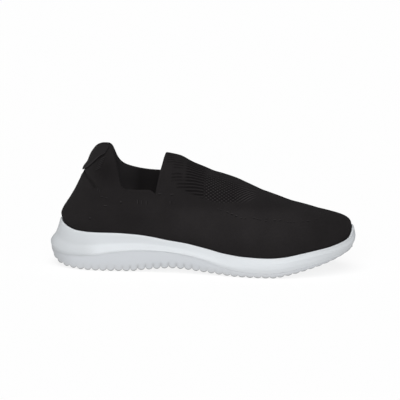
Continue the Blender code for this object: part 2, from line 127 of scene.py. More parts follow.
WALL_ROWS = (
    (0, 0.7, 0.0, 0.12, 5.4, 0.50, 9.3),
    (8, 0.9, 0.0, 0.12, 5.2, 0.50, 7.0),
    (24, 0.8, 0.0, 0.12, 5.2, 0.52, 5.4),
    (60, 0.5, 0.0, 0.08, 5.0, 0.52, 4.6),
    (115, 0.5, 0.0, 0.10, 3.9, 0.55, 4.0),
    (160, 0.6, 0.0, 0.18, 1.7, 0.62, 2.9),
    (210, 1.0, 0.0, 0.36, 0.5, 0.72, 2.4),
    (260, 1.8, 0.3, 0.40, 0.2, 0.72, 2.4),
    (288, 2.4, 0.6, 0.28, 0.0, 0.60, 2.0),
    (295, 2.2, 0.6, 0.22, 0.0, 0.48, 1.5),
)

# Rise of the rim round the toe. Around is the share of the half outline from the toe's foremost point,
# negative on the outer side.
GUARD_COLUMNS = ("around", "lift")
GUARD_ROWS = (
    (-0.070, 0.0),
    (-0.045, 0.6),
    (-0.020, 4.0),
    (0.000, 7.4),
    (0.030, 9.0),
    (0.060, 8.0),
    (0.100, 4.0),
    (0.150, 0.0),
)
TREAD_COLUMNS = ("station", "height", "tread_in", "notch")
TREAD_ROWS = (
    (1.2, 16.8, 1.0, 1.4),
    (2.6, 12.6, 1.5, 2.0),
    (5.3, 8.4, 2.0, 2.3),
    (9.3, 4.7, 2.6, 2.5),
    (14, 2.7, 3.0, 2.7),
    (20, 1.3, 3.2, 2.8),
    (28, 0.5, 3.2, 2.9),
    (38, 0.0, 3.2, 3.0),
    (80, 0.0, 3.2, 3.0),
    (91, 1.3, 3.2, 3.0),
    (105, 2.8, 3.2, 3.0),
    (121, 4.1, 3.2, 3.0),
    (134, 3.6, 3.2, 2.9),
    (152, 2.0, 3.2, 2.7),
    (170, 0.7, 3.0, 2.4),
    (185, 0.0, 3.0, 2.2),
    (216, 0.0, 3.0, 2.0),
    (230, 2.3, 3.4, 1.9),
    (250, 7.2, 4.0, 1.7),
    (274, 14.7, 4.4, 1.4),
    (284, 18.9, 4.0, 1.1),
    (290.6, 22.0, 3.0, 0.8),
    (292.4, 23.2, 2.6, 0.6),
)

# %% Tables of the upper
TOP_COLUMNS = ("share", "station_out", "height_out", "station_in", "height_in", "aside", "turn")
TOP_ROWS = (
    (0.000, 44.5, 115.0, 44.5, 115.0, 0.0, 0.20),
    (0.050, 47.5, 117.0, 46.5, 116.0, 8.6, 0.20),
    (0.090, 51.5, 118.6, 49.5, 116.4, 15.0, 0.20),
    (0.125, 56.2, 119.8, 53.5, 115.6, 20.4, 0.20),
    (0.145, 59.4, 118.0, 56.0, 113.2, 23.2, 0.20),
    (0.165, 61.6, 113.0, 58.0, 108.6, 25.4, 0.20),
    (0.190, 64.6, 104.2, 60.8, 101.6, 28.0, 0.22),
    (0.215, 67.3, 94.8, 64.2, 96.8, 30.0, 0.24),
    (0.240, 70.0, 83.0, 69.0, 93.4, 31.4, 0.26),
    (0.262, 74.0, 77.6, 76.0, 91.0, 32.2, 0.28),
    (0.300, 85.0, 77.2, 86.0, 88.8, 33.0, 0.30),
    (0.342, 97.5, 77.4, 97.0, 87.6, 33.4, 0.32),
    (0.364, 104.4, 73.6, 104.0, 87.4, 33.0, 0.34),
    (0.384, 106.7, 82.6, 106.6, 91.0, 31.4, 0.42),
    (0.400, 108.4, 92.2, 108.2, 95.8, 27.2, 0.56),
    (0.415, 109.9, 100.8, 109.8, 102.0, 19.8, 0.72),
    (0.430, 111.0, 107.6, 111.0, 107.8, 10.6, 0.87),
    (0.445, 111.6, 110.4, 111.6, 110.4, 0.0, 1.00),
    (0.490, 123.0, 108.4, 123.0, 108.4, 0.0, 1.00),
    (0.540, 138.0, 101.2, 138.0, 101.2, 0.0, 1.00),
    (0.600, 157.0, 94.0, 157.0, 94.0, 0.0, 1.00),
    (0.660, 176.0, 87.4, 176.0, 87.4, 0.0, 1.00),
    (0.720, 195.0, 79.4, 195.0, 79.4, 0.0, 1.00),
    (0.780, 213.0, 72.2, 213.0, 72.2, 0.0, 1.00),
    (0.840, 230.0, 66.4, 230.0, 66.4, 0.0, 1.00),
    (0.900, 245.0, 62.4, 245.0, 62.4, 0.0, 1.00),
    (0.950, 256.0, 59.4, 256.0, 59.4, 0.0, 1.00),
    (1.000, 264.0, 57.0, 264.0, 57.0, 0.0, 1.00),
)
CREST_COLUMNS = ("station", "crest")
CREST_ROWS = ((40, 0.0), (111, 1.0), (160, 3.5), (215, 6.0), (262, 6.0), (295, 4.5))
LEAN_COLUMNS = ("rise", "forward")
LEAN_ROWS = (
    (0.00, 0.0),
    (0.06, -0.05),
    (0.16, 0.03),
    (0.25, 0.166),
    (0.40, 0.355),
    (0.51, 0.475),
    (0.61, 0.575),
    (0.70, 0.622),
    (0.78, 0.740),
    (0.90, 0.850),
    (1.00, 1.0),
)
TAB_COLUMNS = ("share", "lower_edge")
TAB_ROWS = ((0.00, 0.66), (0.04, 0.67), (0.077, 0.70), (0.113, 0.80), (0.145, 0.92))
TAB_TOP = 0.995
TAB_THICKNESS = 1.1

# %% [markdown]
# ## Curves through the tables
# A spline through a few measured sections gives the long sweet lines of a last. A plain cubic spline
# overshoots between a steep and a flat stretch, which would dent the sole, so the slopes are chosen to
# keep each stretch between its two sections.


# %% Smooth curves
def within(value, low, high):
    """Return the value, held between two limits."""
    return min(max(value, low), high)


def smooth_curve(columns, rows, name):
    """Return a smooth function of a table's first column through one of the others, with no overshoot."""
    column = columns.index(name)
    xs = [float(row[0]) for row in rows]
    ys = [float(row[column]) for row in rows]
    steps = [after - before for before, after in zip(xs, xs[1:])]
    slopes = [(after - before) / step for before, after, step in zip(ys, ys[1:], steps)]
    tangents = [slopes[0]] + [0.0] * (len(xs) - 2) + [slopes[-1]]
    for k in range(1, len(xs) - 1):
        if slopes[k - 1] * slopes[k] > 0:
            before = 2 * steps[k] + steps[k - 1]
            after = steps[k] + 2 * steps[k - 1]
            tangents[k] = (before + after) / (before / slopes[k - 1] + after / slopes[k])

    def curve(x):
        x = within(x, xs[0], xs[-1])
        k = 0
        while k < len(xs) - 2 and x >= xs[k + 1]:
            k += 1
        t = (x - xs[k]) / steps[k]
        start = ys[k] * (1 + 2 * t) * (1 - t) ** 2 + tangents[k] * steps[k] * t * (1 - t) ** 2
        end = ys[k + 1] * t * t * (3 - 2 * t) - tangents[k + 1] * steps[k] * t * t * (1 - t)
        return start + end

    return curve


def all_curves(columns, rows):
    """Return a dictionary with the smooth function of each named column."""
    return {name: smooth_curve(columns, rows, name) for name in columns[1:]}


def named_rows(columns, rows):
    """Return each row of a table as a dictionary with the names of its columns."""
    return [dict(zip(columns, row)) for row in rows]


PLAN = all_curves(PLAN_COLUMNS, PLAN_ROWS)
HEIGHT = all_curves(HEIGHT_COLUMNS, HEIGHT_ROWS)
WALL = all_curves(WALL_COLUMNS, WALL_ROWS)
GUARD = all_curves(GUARD_COLUMNS, GUARD_ROWS)
TREAD = all_curves(TREAD_COLUMNS, TREAD_ROWS)
TOP = all_curves(TOP_COLUMNS, TOP_ROWS)
CREST = all_curves(CREST_COLUMNS, CREST_ROWS)
LEAN = all_curves(LEAN_COLUMNS, LEAN_ROWS)
TAB = all_curves(TAB_COLUMNS, TAB_ROWS)
print("curves:", sum(len(group) for group in (PLAN, HEIGHT, WALL, GUARD, TREAD, TOP, CREST, LEAN, TAB)))

# %% [markdown]
# ## Places on the plan of the sole
# Seen from below a sole is one closed outline, and each layer of it is that outline drawn in by a few
# millimetres. The two ends are rounded by a formula, because a table alone would leave them square. A
# place on the outline is given by its side and by its share of the way from the heel to the toe.

# %% Places on the plan of the sole
OUTLINE_STEPS = 720
OUTLINE_NEAR = 0.004


def place(station, aside, height):
    """Turn a station, a distance to the inner side and a height in millimetres into a world point."""
    return Vector(((station - SOLE_LENGTH / 2) * MM, aside * MM, height * MM))


def ramp(value, start, end):
    """Return 0 before the start, 1 after the end and a soft step between."""
    share = within((value - start) / (end - start), 0.0, 1.0)
    return share * share * (3 - 2 * share)


def end_round(distance, reach, power):
    """Return the share of the full width at a distance from a rounded end."""
    share = within(1 - distance / reach, 0.0, 1.0)
    return (1 - share ** power) ** (1 / power)


def lengths_along(points):
    """Return the length of the way to each point of a line."""
    return np.concatenate(([0.0], np.cumsum(np.hypot(*np.diff(points, axis=0).T))))


def point_at(length, lengths, points):
    """Return the point of a line at a length of its way."""
    return np.array([np.interp(length, lengths, points[:, k]) for k in (0, 1)])


def half_width(station, inset=0.0):
    """Return half the width of the plan, drawn in by an inset all round."""
    heel = end_round(station - inset, HEEL_ROUND - inset, HEEL_POWER)
    toe = end_round(SOLE_LENGTH - inset - station, TOE_ROUND - inset, TOE_POWER)
    return (PLAN["half_width"](station) - inset) * heel * toe


def half_outline(side):
    """Return the plan's outline on one side, with the share of its length at each point."""
    points = []
    for k in range(OUTLINE_STEPS + 1):
        station = SOLE_LENGTH * (1 - math.cos(math.pi * k / OUTLINE_STEPS)) / 2
        points.append((station, PLAN["middle"](station) + side * half_width(station)))
    points = np.array(points)
    lengths = lengths_along(points)
    return points, lengths / lengths[-1]


OUTLINES = {side: half_outline(side) for side in (OUTER, INNER)}


@lru_cache(maxsize=None)
def outline_point(side, share):
    """Return the station, the aside and the inward direction at a share of the way round from the heel."""
    points, shares = OUTLINES[side]
    here = [float(value) for value in point_at(share, shares, points)]
    if share <= 0.0:
        return here[0], here[1], (1.0, 0.0)
    if share >= 1.0:
        return here[0], here[1], (-1.0, 0.0)
    before = point_at(share - OUTLINE_NEAR, shares, points)
    after = point_at(share + OUTLINE_NEAR, shares, points)
    if share < OUTLINE_NEAR:
        before = np.array([after[0], 2 * points[0, 1] - after[1]])
    if share > 1 - OUTLINE_NEAR:
        after = np.array([before[0], 2 * points[-1, 1] - before[1]])
    run = (after - before) / np.hypot(*(after - before))
    return here[0], here[1], (float(side * run[1]), float(-side * run[0]))


def inset_point(side, share, inset):
    """Return the station and aside of the outline, moved in by an inset."""
    station, aside, inward = outline_point(side, share)
    return station + inward[0] * inset, aside + inward[1] * inset


def rim_height(side, share):
    """Return the height of the midsole's rim at a share of the way round."""
    return HEIGHT["rim"](outline_point(side, share)[0]) + GUARD["lift"](side * (1 - share))


def feather_inset(station):
    """Return how far the upper's outer face stands in from the sole's plan."""
    return WALL["rim_in"](station) + RIM_WALL + GAP


# %% [markdown]
# ## The camera first
# The photograph was taken nearly square to the outer side, from a little above, with a long lens. A long
# lens from one and a half metres keeps the far topline and the near one in the photograph's places. The
# camera is placed by its angles to the shoe, because a person reads those more easily than a matrix.

# %% Camera
CAMERA_AIM = Vector((-0.0030, 0.0006, 0.0646))
CAMERA_DISTANCE = 1.5
CAMERA_AZIMUTH = math.radians(3.0)
CAMERA_ELEVATION = math.radians(9.5)
CAMERA_ROLL = math.radians(0.893)
CAMERA_LENS = 140.0
CAMERA_NEAR = 0.05


def add_camera():
    """Look at the shoe from the photograph's angle."""
    side = math.sin(CAMERA_AZIMUTH) * math.cos(CAMERA_ELEVATION)
    front = -math.cos(CAMERA_AZIMUTH) * math.cos(CAMERA_ELEVATION)
    back = Vector((side, front, math.sin(CAMERA_ELEVATION)))
    level = Vector((math.cos(CAMERA_AZIMUTH), math.sin(CAMERA_AZIMUTH), 0.0))
    upright = back.cross(level)
    right = level * math.cos(CAMERA_ROLL) + upright * math.sin(CAMERA_ROLL)
    up = upright * math.cos(CAMERA_ROLL) - level * math.sin(CAMERA_ROLL)
    turn = Matrix((right, up, back)).transposed().to_4x4()
    camera = bpy.data.cameras.new("camera")
    camera.lens = CAMERA_LENS
    camera.clip_start = CAMERA_NEAR
    thing = bpy.data.objects.new("camera", camera)
    thing.matrix_world = Matrix.Translation(CAMERA_AIM + back * CAMERA_DISTANCE) @ turn
    bpy.context.scene.collection.objects.link(thing)
    bpy.context.scene.camera = thing
    return thing


print("camera at", [round(value, 4) for value in add_camera().matrix_world.translation])

# %% [markdown]
# ## Floor and light
# The photograph is a studio cut-out on white: a broad soft light from above and in front, and almost no
# shadow. An area light close by would leave the far floor grey, so two very wide suns, which reach the
# whole floor alike, give the shoe its top light, over an even sky. The floor is a light table: most of its
# white is its own glow, so the light between the teeth stays white as in the photograph and only a breath
# of shadow is left. The plain view transform keeps white white.

# %% Floor and light
FLOOR_SIZE = 40.0
FLOOR_DROP = 0.0002
FLOOR_WHITE = (0.18, 0.18, 0.18)
FLOOR_GLOW = 0.81
FLOOR_ROUGHNESS = 0.9
SKY_STRENGTH = 0.20
SUN_COLUMNS = ("name", "from_place", "spread_degrees", "strength")
SUN_ROWS = (
    ("top softbox", (-0.05, -0.35, 1.0), 50.0, 1.85),
    ("front softbox", (0.0, -1.0, 0.45), 35.0, 1.90),
)


def add_floor():
    """Lay a plain pale floor, and mark it as the stage."""
    bm = bmesh.new()
    bmesh.ops.create_grid(bm, x_segments=1, y_segments=1, size=FLOOR_SIZE / 2)
    bmesh.ops.translate(bm, verts=bm.verts, vec=(0.0, 0.0, -FLOOR_DROP))
    mesh = bpy.data.meshes.new("studio floor")
    bm.to_mesh(mesh)
    bm.free()
    material = bpy.data.materials.new("studio floor")
    material.use_nodes = True
    shader = material.node_tree.nodes["Principled BSDF"]
    shader.inputs["Base Color"].default_value = (*FLOOR_WHITE, 1.0)
    shader.inputs["Roughness"].default_value = FLOOR_ROUGHNESS
    shader.inputs["Specular IOR Level"].default_value = 0.0
    shader.inputs["Emission Color"].default_value = (1.0, 1.0, 1.0, 1.0)
    shader.inputs["Emission Strength"].default_value = FLOOR_GLOW
    mesh.materials.append(material)
    floor = bpy.data.objects.new("studio_floor", mesh)
    bpy.context.scene.collection.objects.link(floor)


def add_sun(name, from_place, spread_degrees, strength):
    """Hang one very wide soft light that shines alike on the whole set."""
    light = bpy.data.lights.new(name, "SUN")
    light.angle = math.radians(spread_degrees)
    light.energy = strength
    thing = bpy.data.objects.new(name, light)
    thing.rotation_euler = Vector(from_place).to_track_quat("Z", "Y").to_euler()
    bpy.context.scene.collection.objects.link(thing)


def add_world():
    """Surround the set with an even white."""
    world = bpy.data.worlds.new("white studio")
    world.use_nodes = True
    background = world.node_tree.nodes["Background"]
    background.inputs["Color"].default_value = (1.0, 1.0, 1.0, 1.0)
    background.inputs["Strength"].default_value = SKY_STRENGTH
    bpy.context.scene.world = world


add_floor()
add_world()
for sun in named_rows(SUN_COLUMNS, SUN_ROWS):
    add_sun(**sun)
bpy.context.scene.view_settings.view_transform = "Standard"
print("lights:", len(SUN_ROWS))

# %% [markdown]
# ## Effects that more than one finish uses
# Grain, knit and dust show on several pieces. Each is a small group of nodes with named inputs, built
# once and placed in each material with its own values. A group gives out only a height, a mask or a
# colour, so that the shader and its gloss stay in the material, where the export can read them.

# %% Helpers for node groups
def new_group(name, inputs, outputs):
    """Start a node group with named sockets, and return it with its two end nodes."""
    group = bpy.data.node_groups.new(name, "ShaderNodeTree")
    kinds = {"value": "NodeSocketFloat", "place": "NodeSocketVector", "colour": "NodeSocketColor"}
    for socket, kind, default in inputs:
        made = group.interface.new_socket(socket, in_out="INPUT", socket_type=kinds[kind])
        if default is not None:
            made.default_value = default
    for socket, kind in outputs:
        group.interface.new_socket(socket, in_out="OUTPUT", socket_type=kinds[kind])
    return group, group.nodes.new("NodeGroupInput"), group.nodes.new("NodeGroupOutput")


def maths(tree, operation, *values):
    """Add a Math node and give it links or plain numbers."""
    node = tree.nodes.new("ShaderNodeMath")
    node.operation = operation
    for socket, value in zip(node.inputs, values):
        if isinstance(value, (int, float)):
            socket.default_value = value
        else:
            tree.links.new(value, socket)
    return node.outputs[0]


def noise(tree, where, scale, detail=2.0, roughness=0.5):
    """Add a Noise Texture and return its value."""
    node = tree.nodes.new("ShaderNodeTexNoise")
    node.inputs["Scale"].default_value = scale
    node.inputs["Detail"].default_value = detail
    node.inputs["Roughness"].default_value = roughness
    tree.links.new(where, node.inputs["Vector"])
    return node.outputs[0]


# %% [markdown]
# ### The knit
# A knit is rows of loops. Up close each loop is a small V; from a step away one sees fine upright wales,
# and where the maker changes the stitch, raised ribs or a trellis of diamonds. Modelling the loops would
# take millions of faces, so the relief is worked out from two lengths along the cloth, in millimetres:
# how far along the shoe, and how far up from the feather edge.

# %% Node group: knit
RIB_PITCH = 3.7
RIB_SLOPE = -0.28
RIB_STRENGTH = 0.95
RIB_LEVEL = -0.8
DIAMOND_PITCH = 3.8
DIAMOND_RISE = 1.1
DIAMOND_FALL = 0.7
TRELLIS_STRENGTH = 1.6
TRELLIS_LEVEL = -0.38
SINGLE_FROM = 176.0
SINGLE_REACH = 14.0
LOOP_PITCH = 0.9
LOOP_RELIEF = 0.16
LOOP_SHADE = 0.06


def make_knit_group():
    """Relief and shade of a knit, from lengths along and up the cloth, with masks for ribs and diamonds."""
    inputs = (
        ("Along", "value", 0.0), ("Up", "value", 0.0), ("Ribs", "value", 0.0), ("Diamonds", "value", 0.0),
        ("Rib pitch", "value", RIB_PITCH), ("Rib slope", "value", RIB_SLOPE),
        ("Diamond pitch", "value", DIAMOND_PITCH), ("Single from", "value", SINGLE_FROM),
        ("Loop pitch", "value", LOOP_PITCH),
    )
    group, start, end = new_group("knit", inputs, (("Height", "value"), ("Shade", "value")))
    given = start.outputs

    def wave(length, pitch):
        turns = maths(group, "DIVIDE", length, pitch)
        return maths(group, "SINE", maths(group, "MULTIPLY", turns, 2 * math.pi))

    def unit(value):
        return maths(group, "MULTIPLY_ADD", value, 0.5, 0.5)

    sloped = maths(group, "ADD", given["Up"], maths(group, "MULTIPLY", given["Along"], given["Rib slope"]))
    ribs = maths(group, "MULTIPLY", unit(wave(sloped, given["Rib pitch"])), given["Ribs"])
    ribs = maths(group, "MULTIPLY", ribs, RIB_STRENGTH)
    rising = maths(group, "MULTIPLY_ADD", given["Along"], -DIAMOND_RISE, given["Up"])
    falling = maths(group, "MULTIPLY_ADD", given["Along"], DIAMOND_FALL, given["Up"])
    single = maths(group, "SUBTRACT", given["Along"], given["Single from"])
    single = maths(group, "DIVIDE", single, SINGLE_REACH)
    crossing = maths(group, "MAXIMUM", unit(wave(falling, given["Diamond pitch"])), single)
    crossing = maths(group, "MINIMUM", crossing, 1.0)
    trellis = maths(group, "MULTIPLY", unit(wave(rising, given["Diamond pitch"])), crossing)
    trellis = maths(group, "MULTIPLY", trellis, given["Diamonds"])
    trellis = maths(group, "MULTIPLY", trellis, TRELLIS_STRENGTH)
    loops = maths(group, "MULTIPLY", wave(given["Along"], given["Loop pitch"]),
                  wave(given["Up"], given["Loop pitch"]))
    # The relief is painted into the colour too: highlights on the tops of ribs, diamonds and loops, shade in
    # their troughs, and the rib and diamond zones a trace darker as a whole.
    relief = maths(group, "ADD", ribs, trellis)
    level = maths(group, "MULTIPLY_ADD", given["Ribs"], RIB_LEVEL,
                  maths(group, "MULTIPLY", given["Diamonds"], TRELLIS_LEVEL))
    height = maths(group, "MULTIPLY_ADD", loops, LOOP_RELIEF, relief)
    shade = maths(group, "MULTIPLY_ADD", loops, LOOP_SHADE, maths(group, "ADD", relief, level))
    group.links.new(height, end.inputs["Height"])
    group.links.new(shade, end.inputs["Shade"])
    return group


KNIT = make_knit_group()
print("node group", KNIT.name, "with", len(KNIT.nodes), "nodes")


# %% [markdown]
# ### Grain and dust
# Foam, rubber and yarn are never quite even: each has a fine grain, and its colour drifts a little over a
# hand's breadth. Dust gathers low down. Both come from noise in the piece's own coordinates, so they stay
# put when the shoe is moved.

# %% Node groups: grain and dust
GRAIN_PARTS = (("Fine", 3.0, "Height"), ("Broad", 2.0, "Patches"))
DUST_SCALE = 140.0
DUST_DETAIL = 4.0
DUST_ROUGHNESS = 0.6


def make_grain_group():
    """Fine grain of foam, rubber or yarn, with a broad unevenness of colour under it."""
    inputs = (("Vector", "place", None), ("Fine", "value", 900.0), ("Broad", "value", 25.0))
    group, start, end = new_group("grain", inputs, (("Height", "value"), ("Patches", "value")))
    for size, detail, target in GRAIN_PARTS:
        node = group.nodes.new("ShaderNodeTexNoise")
        node.inputs["Detail"].default_value = detail
        group.links.new(start.outputs["Vector"], node.inputs["Vector"])
        group.links.new(start.outputs[size], node.inputs["Scale"])
        group.links.new(node.outputs[0], end.inputs[target])
    return group


def make_dust_group():
    """Floor dust: strongest at the floor, patchy, and gone a little way up."""
    inputs = (("Vector", "place", None), ("Reach", "value", 0.012), ("Amount", "value", 0.3))
    group, start, end = new_group("dust", inputs, (("Mask", "value"),))
    split = group.nodes.new("ShaderNodeSeparateXYZ")
    group.links.new(start.outputs["Vector"], split.inputs[0])
    low = maths(group, "SUBTRACT", 1.0, maths(group, "DIVIDE", split.outputs["Z"], start.outputs["Reach"]))
    low = maths(group, "MAXIMUM", low, 0.0)
    patches = noise(group, start.outputs["Vector"], DUST_SCALE, DUST_DETAIL, DUST_ROUGHNESS)
    mask = maths(group, "MULTIPLY", maths(group, "MULTIPLY", low, patches), start.outputs["Amount"])
    group.links.new(mask, end.inputs["Mask"])
    return group


GRAIN = make_grain_group()
DUST = make_dust_group()
print("node groups:", GRAIN.name, DUST.name)

# %% [markdown]
# ### How a material is put together
# Foam, rubber and cloth are dressed alike: a group gives a mask or a height, two colours are mixed by the
# mask, and a bump raises the grain. Each of these steps is one small function, so a material reads as a
# short list. Setting every node and link by hand would hide what it does.

# %% Helpers for materials
MIX_COLOURS = (6, 7)
MIX_RESULT = 2


def new_material(name, roughness, specular):
    """Start a material, and return it with its node tree and its shader."""
    material = bpy.data.materials.new(name)
    material.use_nodes = True
    shader = material.node_tree.nodes["Principled BSDF"]
    shader.inputs["Roughness"].default_value = roughness
    shader.inputs["Specular IOR Level"].default_value = specular
    return material, material.node_tree, shader


def use_group(tree, group, **values):
    """Place a node group and give it links or plain numbers, with _ for a space in a socket's name."""
    node = tree.nodes.new("ShaderNodeGroup")
    node.node_tree = group
    for name, value in values.items():
        socket = node.inputs[name.replace("_", " ")]
        if isinstance(value, (int, float)):
            socket.default_value = value
        else:
            tree.links.new(value, socket)
    return node.outputs


def object_place(tree):
    """Return the piece's own coordinates, in metres."""
    return tree.nodes.new("ShaderNodeTexCoord").outputs["Object"]


def read_attribute(tree, name):
    """Return the three values of an attribute that a piece carries."""
    node = tree.nodes.new("ShaderNodeAttribute")
    node.attribute_name = name
    split = tree.nodes.new("ShaderNodeSeparateXYZ")
    tree.links.new(node.outputs["Vector"], split.inputs[0])
    return split.outputs


def blend_colours(tree, factor, first, second):
    """Mix two colours, each a plain colour or a link, by a mask."""
    node = tree.nodes.new("ShaderNodeMix")
    node.data_type = "RGBA"
    tree.links.new(factor, node.inputs[0])
    for number, value in zip(MIX_COLOURS, (first, second)):
        if isinstance(value, tuple):
            node.inputs[number].default_value = (*value, 1.0)
        else:
            tree.links.new(value, node.inputs[number])
    return node.outputs[MIX_RESULT]


def add_bump(tree, shader, height, distance, strength=1.0):
    """Raise a surface by a height from 0 to 1 over a distance in metres."""
    node = tree.nodes.new("ShaderNodeBump")
    node.inputs["Distance"].default_value = distance
    node.inputs["Strength"].default_value = strength
    tree.links.new(height, node.inputs["Height"])
    tree.links.new(node.outputs["Normal"], shader.inputs["Normal"])


# %% [markdown]
# ### Foam and rubber
# The midsole is white foam with a fine even skin, and the tread is a slightly greyer rubber. Both are
# nearly matt. The unevenness is kept faint: the shoe is clean and new. Shade is also painted into the
# colour from an attribute on the mesh. The foam turns a trace greyer at the heel and the toe, and the tread
# at its back, where the light falls off. The tread is darker along the lower edge of its teeth, under it
# and in its grooves, where shade gathers.

# %% Materials: sole
FOAM_WHITE = (0.530, 0.552, 0.572)
FOAM_SHADE = (0.512, 0.533, 0.552)
RUBBER_WHITE = (0.468, 0.486, 0.510)
RUBBER_SHADE = (0.446, 0.464, 0.488)
DUST_GREY = (0.42, 0.40, 0.37)
PAINTED_SHADE_GREY = (0.20, 0.205, 0.21)
PAINTED_SHADE_SHARE = 0.75
SOLE_SPECULAR = 0.35
SOLE_PATCH_SCALE = 30.0
SOLE_ROUGH_SPREAD = 0.12
DUST_REACH = 0.010
DUST_AMOUNT = 0.35


def make_sole_material(name, light, dark, roughness, grain_scale, grain_depth):
    """Foam or rubber: two close whites in broad patches, fine grain, shade painted from the mesh, and a
    breath of dust low down.
    """
    material, tree, shader = new_material(name, roughness, SOLE_SPECULAR)
    where = object_place(tree)
    grain = use_group(tree, GRAIN, Vector=where, Fine=grain_scale, Broad=SOLE_PATCH_SCALE)
    dust = use_group(tree, DUST, Vector=where, Reach=DUST_REACH, Amount=DUST_AMOUNT)
    clean = blend_colours(tree, grain["Patches"], dark, light)
    # Painted shade: an attribute on the mesh greys the colour where the light falls off and where shade
    # gathers.
    rubbed = maths(tree, "MULTIPLY", read_attribute(tree, "rubbed")["X"], PAINTED_SHADE_SHARE)
    painted_dark = blend_colours(tree, rubbed, clean, PAINTED_SHADE_GREY)
    tree.links.new(blend_colours(tree, dust["Mask"], painted_dark, DUST_GREY), shader.inputs["Base Color"])
    smoothest = roughness - SOLE_ROUGH_SPREAD / 2
    rough = maths(tree, "MULTIPLY_ADD", grain["Patches"], SOLE_ROUGH_SPREAD, smoothest)
    tree.links.new(rough, shader.inputs["Roughness"])
    add_bump(tree, shader, grain["Height"], grain_depth)
    return material


MIDSOLE_FOAM = make_sole_material(
    "midsole foam", FOAM_WHITE, FOAM_SHADE, roughness=0.55, grain_scale=1100.0, grain_depth=0.00006)
OUTSOLE_RUBBER = make_sole_material(
    "outsole rubber", RUBBER_WHITE, RUBBER_SHADE, roughness=0.48, grain_scale=700.0, grain_depth=0.00008)
print("sole materials:", MIDSOLE_FOAM.name, "and", OUTSOLE_RUBBER.name)

# %% [markdown]
# ### Black knit and its lining
# The upper is one black knit. It isn't a dead black: yarn lifts a little at a grazing angle, ribs and
# diamonds get painted highlights on their tops and painted shade between them, and painted light makes the
# side panel a trace lighter than the instep. A picture laid over it would blur up close. So the cloth's own
# lengths and zones are written on the mesh as attributes, and the material works the knit out from them.

# %% Materials: knit
YARN_DARK = (0.0060, 0.0052, 0.0055)
YARN_LIGHT = (0.0305, 0.0280, 0.0288)
BAND_DARK = (0.0076, 0.0069, 0.0072)
BAND_LIGHT = (0.0297, 0.0274, 0.0283)
LINING_DARK = (0.0003, 0.0002, 0.0002)
LINING_LIGHT = (0.0258, 0.0238, 0.0248)
MARK_DARK = (0.020, 0.018, 0.019)
MARK_LIGHT = (0.050, 0.047, 0.049)
BEAD_SHADOW_DARK = (0.0035, 0.0030, 0.0032)
BEAD_SHADOW_LIGHT = (0.0080, 0.0072, 0.0076)
KNIT_SPECULAR = 0.03
KNIT_SHEEN = 0.008
KNIT_SHEEN_ROUGHNESS = 0.6
KNIT_SHADE = 0.75
PATCH_SCALE = 38.0
PATCH_SHADE = 0.24
BASE_SHADE = 0.11
FUZZ_SCALE = 2400.0
FUZZ_SHADE = 0.16
FUZZ_RELIEF = 0.10
REAR_END = 84.0
REAR_REACH = 20.0


def make_knit_material(name, dark, light, roughness, relief, loop_pitch, rear_painted_light=0.0):
    """Knit cloth with a soft nap. The rear painted light lightens it behind the collar's opening."""
    material, tree, shader = new_material(name, roughness, KNIT_SPECULAR)
    lengths = read_attribute(tree, "cloth_place")
    zones = read_attribute(tree, "cloth_zone")
    knit = use_group(tree, KNIT, Along=lengths["X"], Up=lengths["Y"], Ribs=zones["X"],
                     Diamonds=zones["Y"], Loop_pitch=loop_pitch)
    grain = use_group(tree, GRAIN, Vector=object_place(tree), Fine=FUZZ_SCALE, Broad=PATCH_SCALE)
    patches = maths(tree, "MULTIPLY_ADD", grain["Patches"], PATCH_SHADE, BASE_SHADE)
    shade = maths(tree, "MULTIPLY_ADD", knit["Shade"], KNIT_SHADE, patches)
    # The third zone value is painted light and shade: the side panel, the patches of shade, the shadow under
    # the heel band and the highlight on its edge.
    shade = maths(tree, "ADD", shade, zones["Z"])
    # Painted light on the lining towards the heel, fading out forward.
    if rear_painted_light:
        behind = maths(tree, "MULTIPLY_ADD", lengths["X"], -1 / REAR_REACH, REAR_END / REAR_REACH)
        behind = maths(tree, "MINIMUM", maths(tree, "MAXIMUM", behind, 0.0), 1.0)
        shade = maths(tree, "MULTIPLY_ADD", behind, rear_painted_light, shade)
    fuzz = maths(tree, "MULTIPLY_ADD", grain["Height"], FUZZ_SHADE, shade)
    tree.links.new(blend_colours(tree, fuzz, dark, light), shader.inputs["Base Color"])
    height = maths(tree, "MULTIPLY_ADD", grain["Height"], FUZZ_RELIEF, knit["Height"])
    add_bump(tree, shader, height, relief)
    shader.inputs["Sheen Weight"].default_value = KNIT_SHEEN
    shader.inputs["Sheen Roughness"].default_value = KNIT_SHEEN_ROUGHNESS
    return material


UPPER_KNIT = make_knit_material(
    "black knit", YARN_DARK, YARN_LIGHT, roughness=0.85, relief=0.0007, loop_pitch=0.95)
BAND_KNIT = make_knit_material(
    "band knit", BAND_DARK, BAND_LIGHT, roughness=0.85, relief=0.0002, loop_pitch=0.8)
MARK_YARN = make_knit_material(
    "raised yarn", MARK_DARK, MARK_LIGHT, roughness=0.8, relief=0.0001, loop_pitch=0.8)
# Painted shadow: the dark bead laid under each raised one.
MARK_SHADOW = make_knit_material(
    "painted bead shadow", BEAD_SHADOW_DARK, BEAD_SHADOW_LIGHT, roughness=0.95, relief=0.0001, loop_pitch=0.8)
UPPER_LINING = make_knit_material(
    "dark lining", LINING_DARK, LINING_LIGHT, roughness=0.9, relief=0.0002, loop_pitch=1.3, rear_painted_light=0.7)
print("knit materials:", UPPER_KNIT.name, "and", UPPER_LINING.name)

# %% [markdown]
# ## How a piece is made
# A shoe is made of skins: a foam cup, a knitted shell, a moulded tread. Each is one sheet, so each starts
# here as one flat grid, which is bent into place section by section and welded where it meets itself.
# Stacking ready-made bodies would leave joints that the real pieces don't have.

# %% Helpers for meshes
WELD_DISTANCE = 1e-6


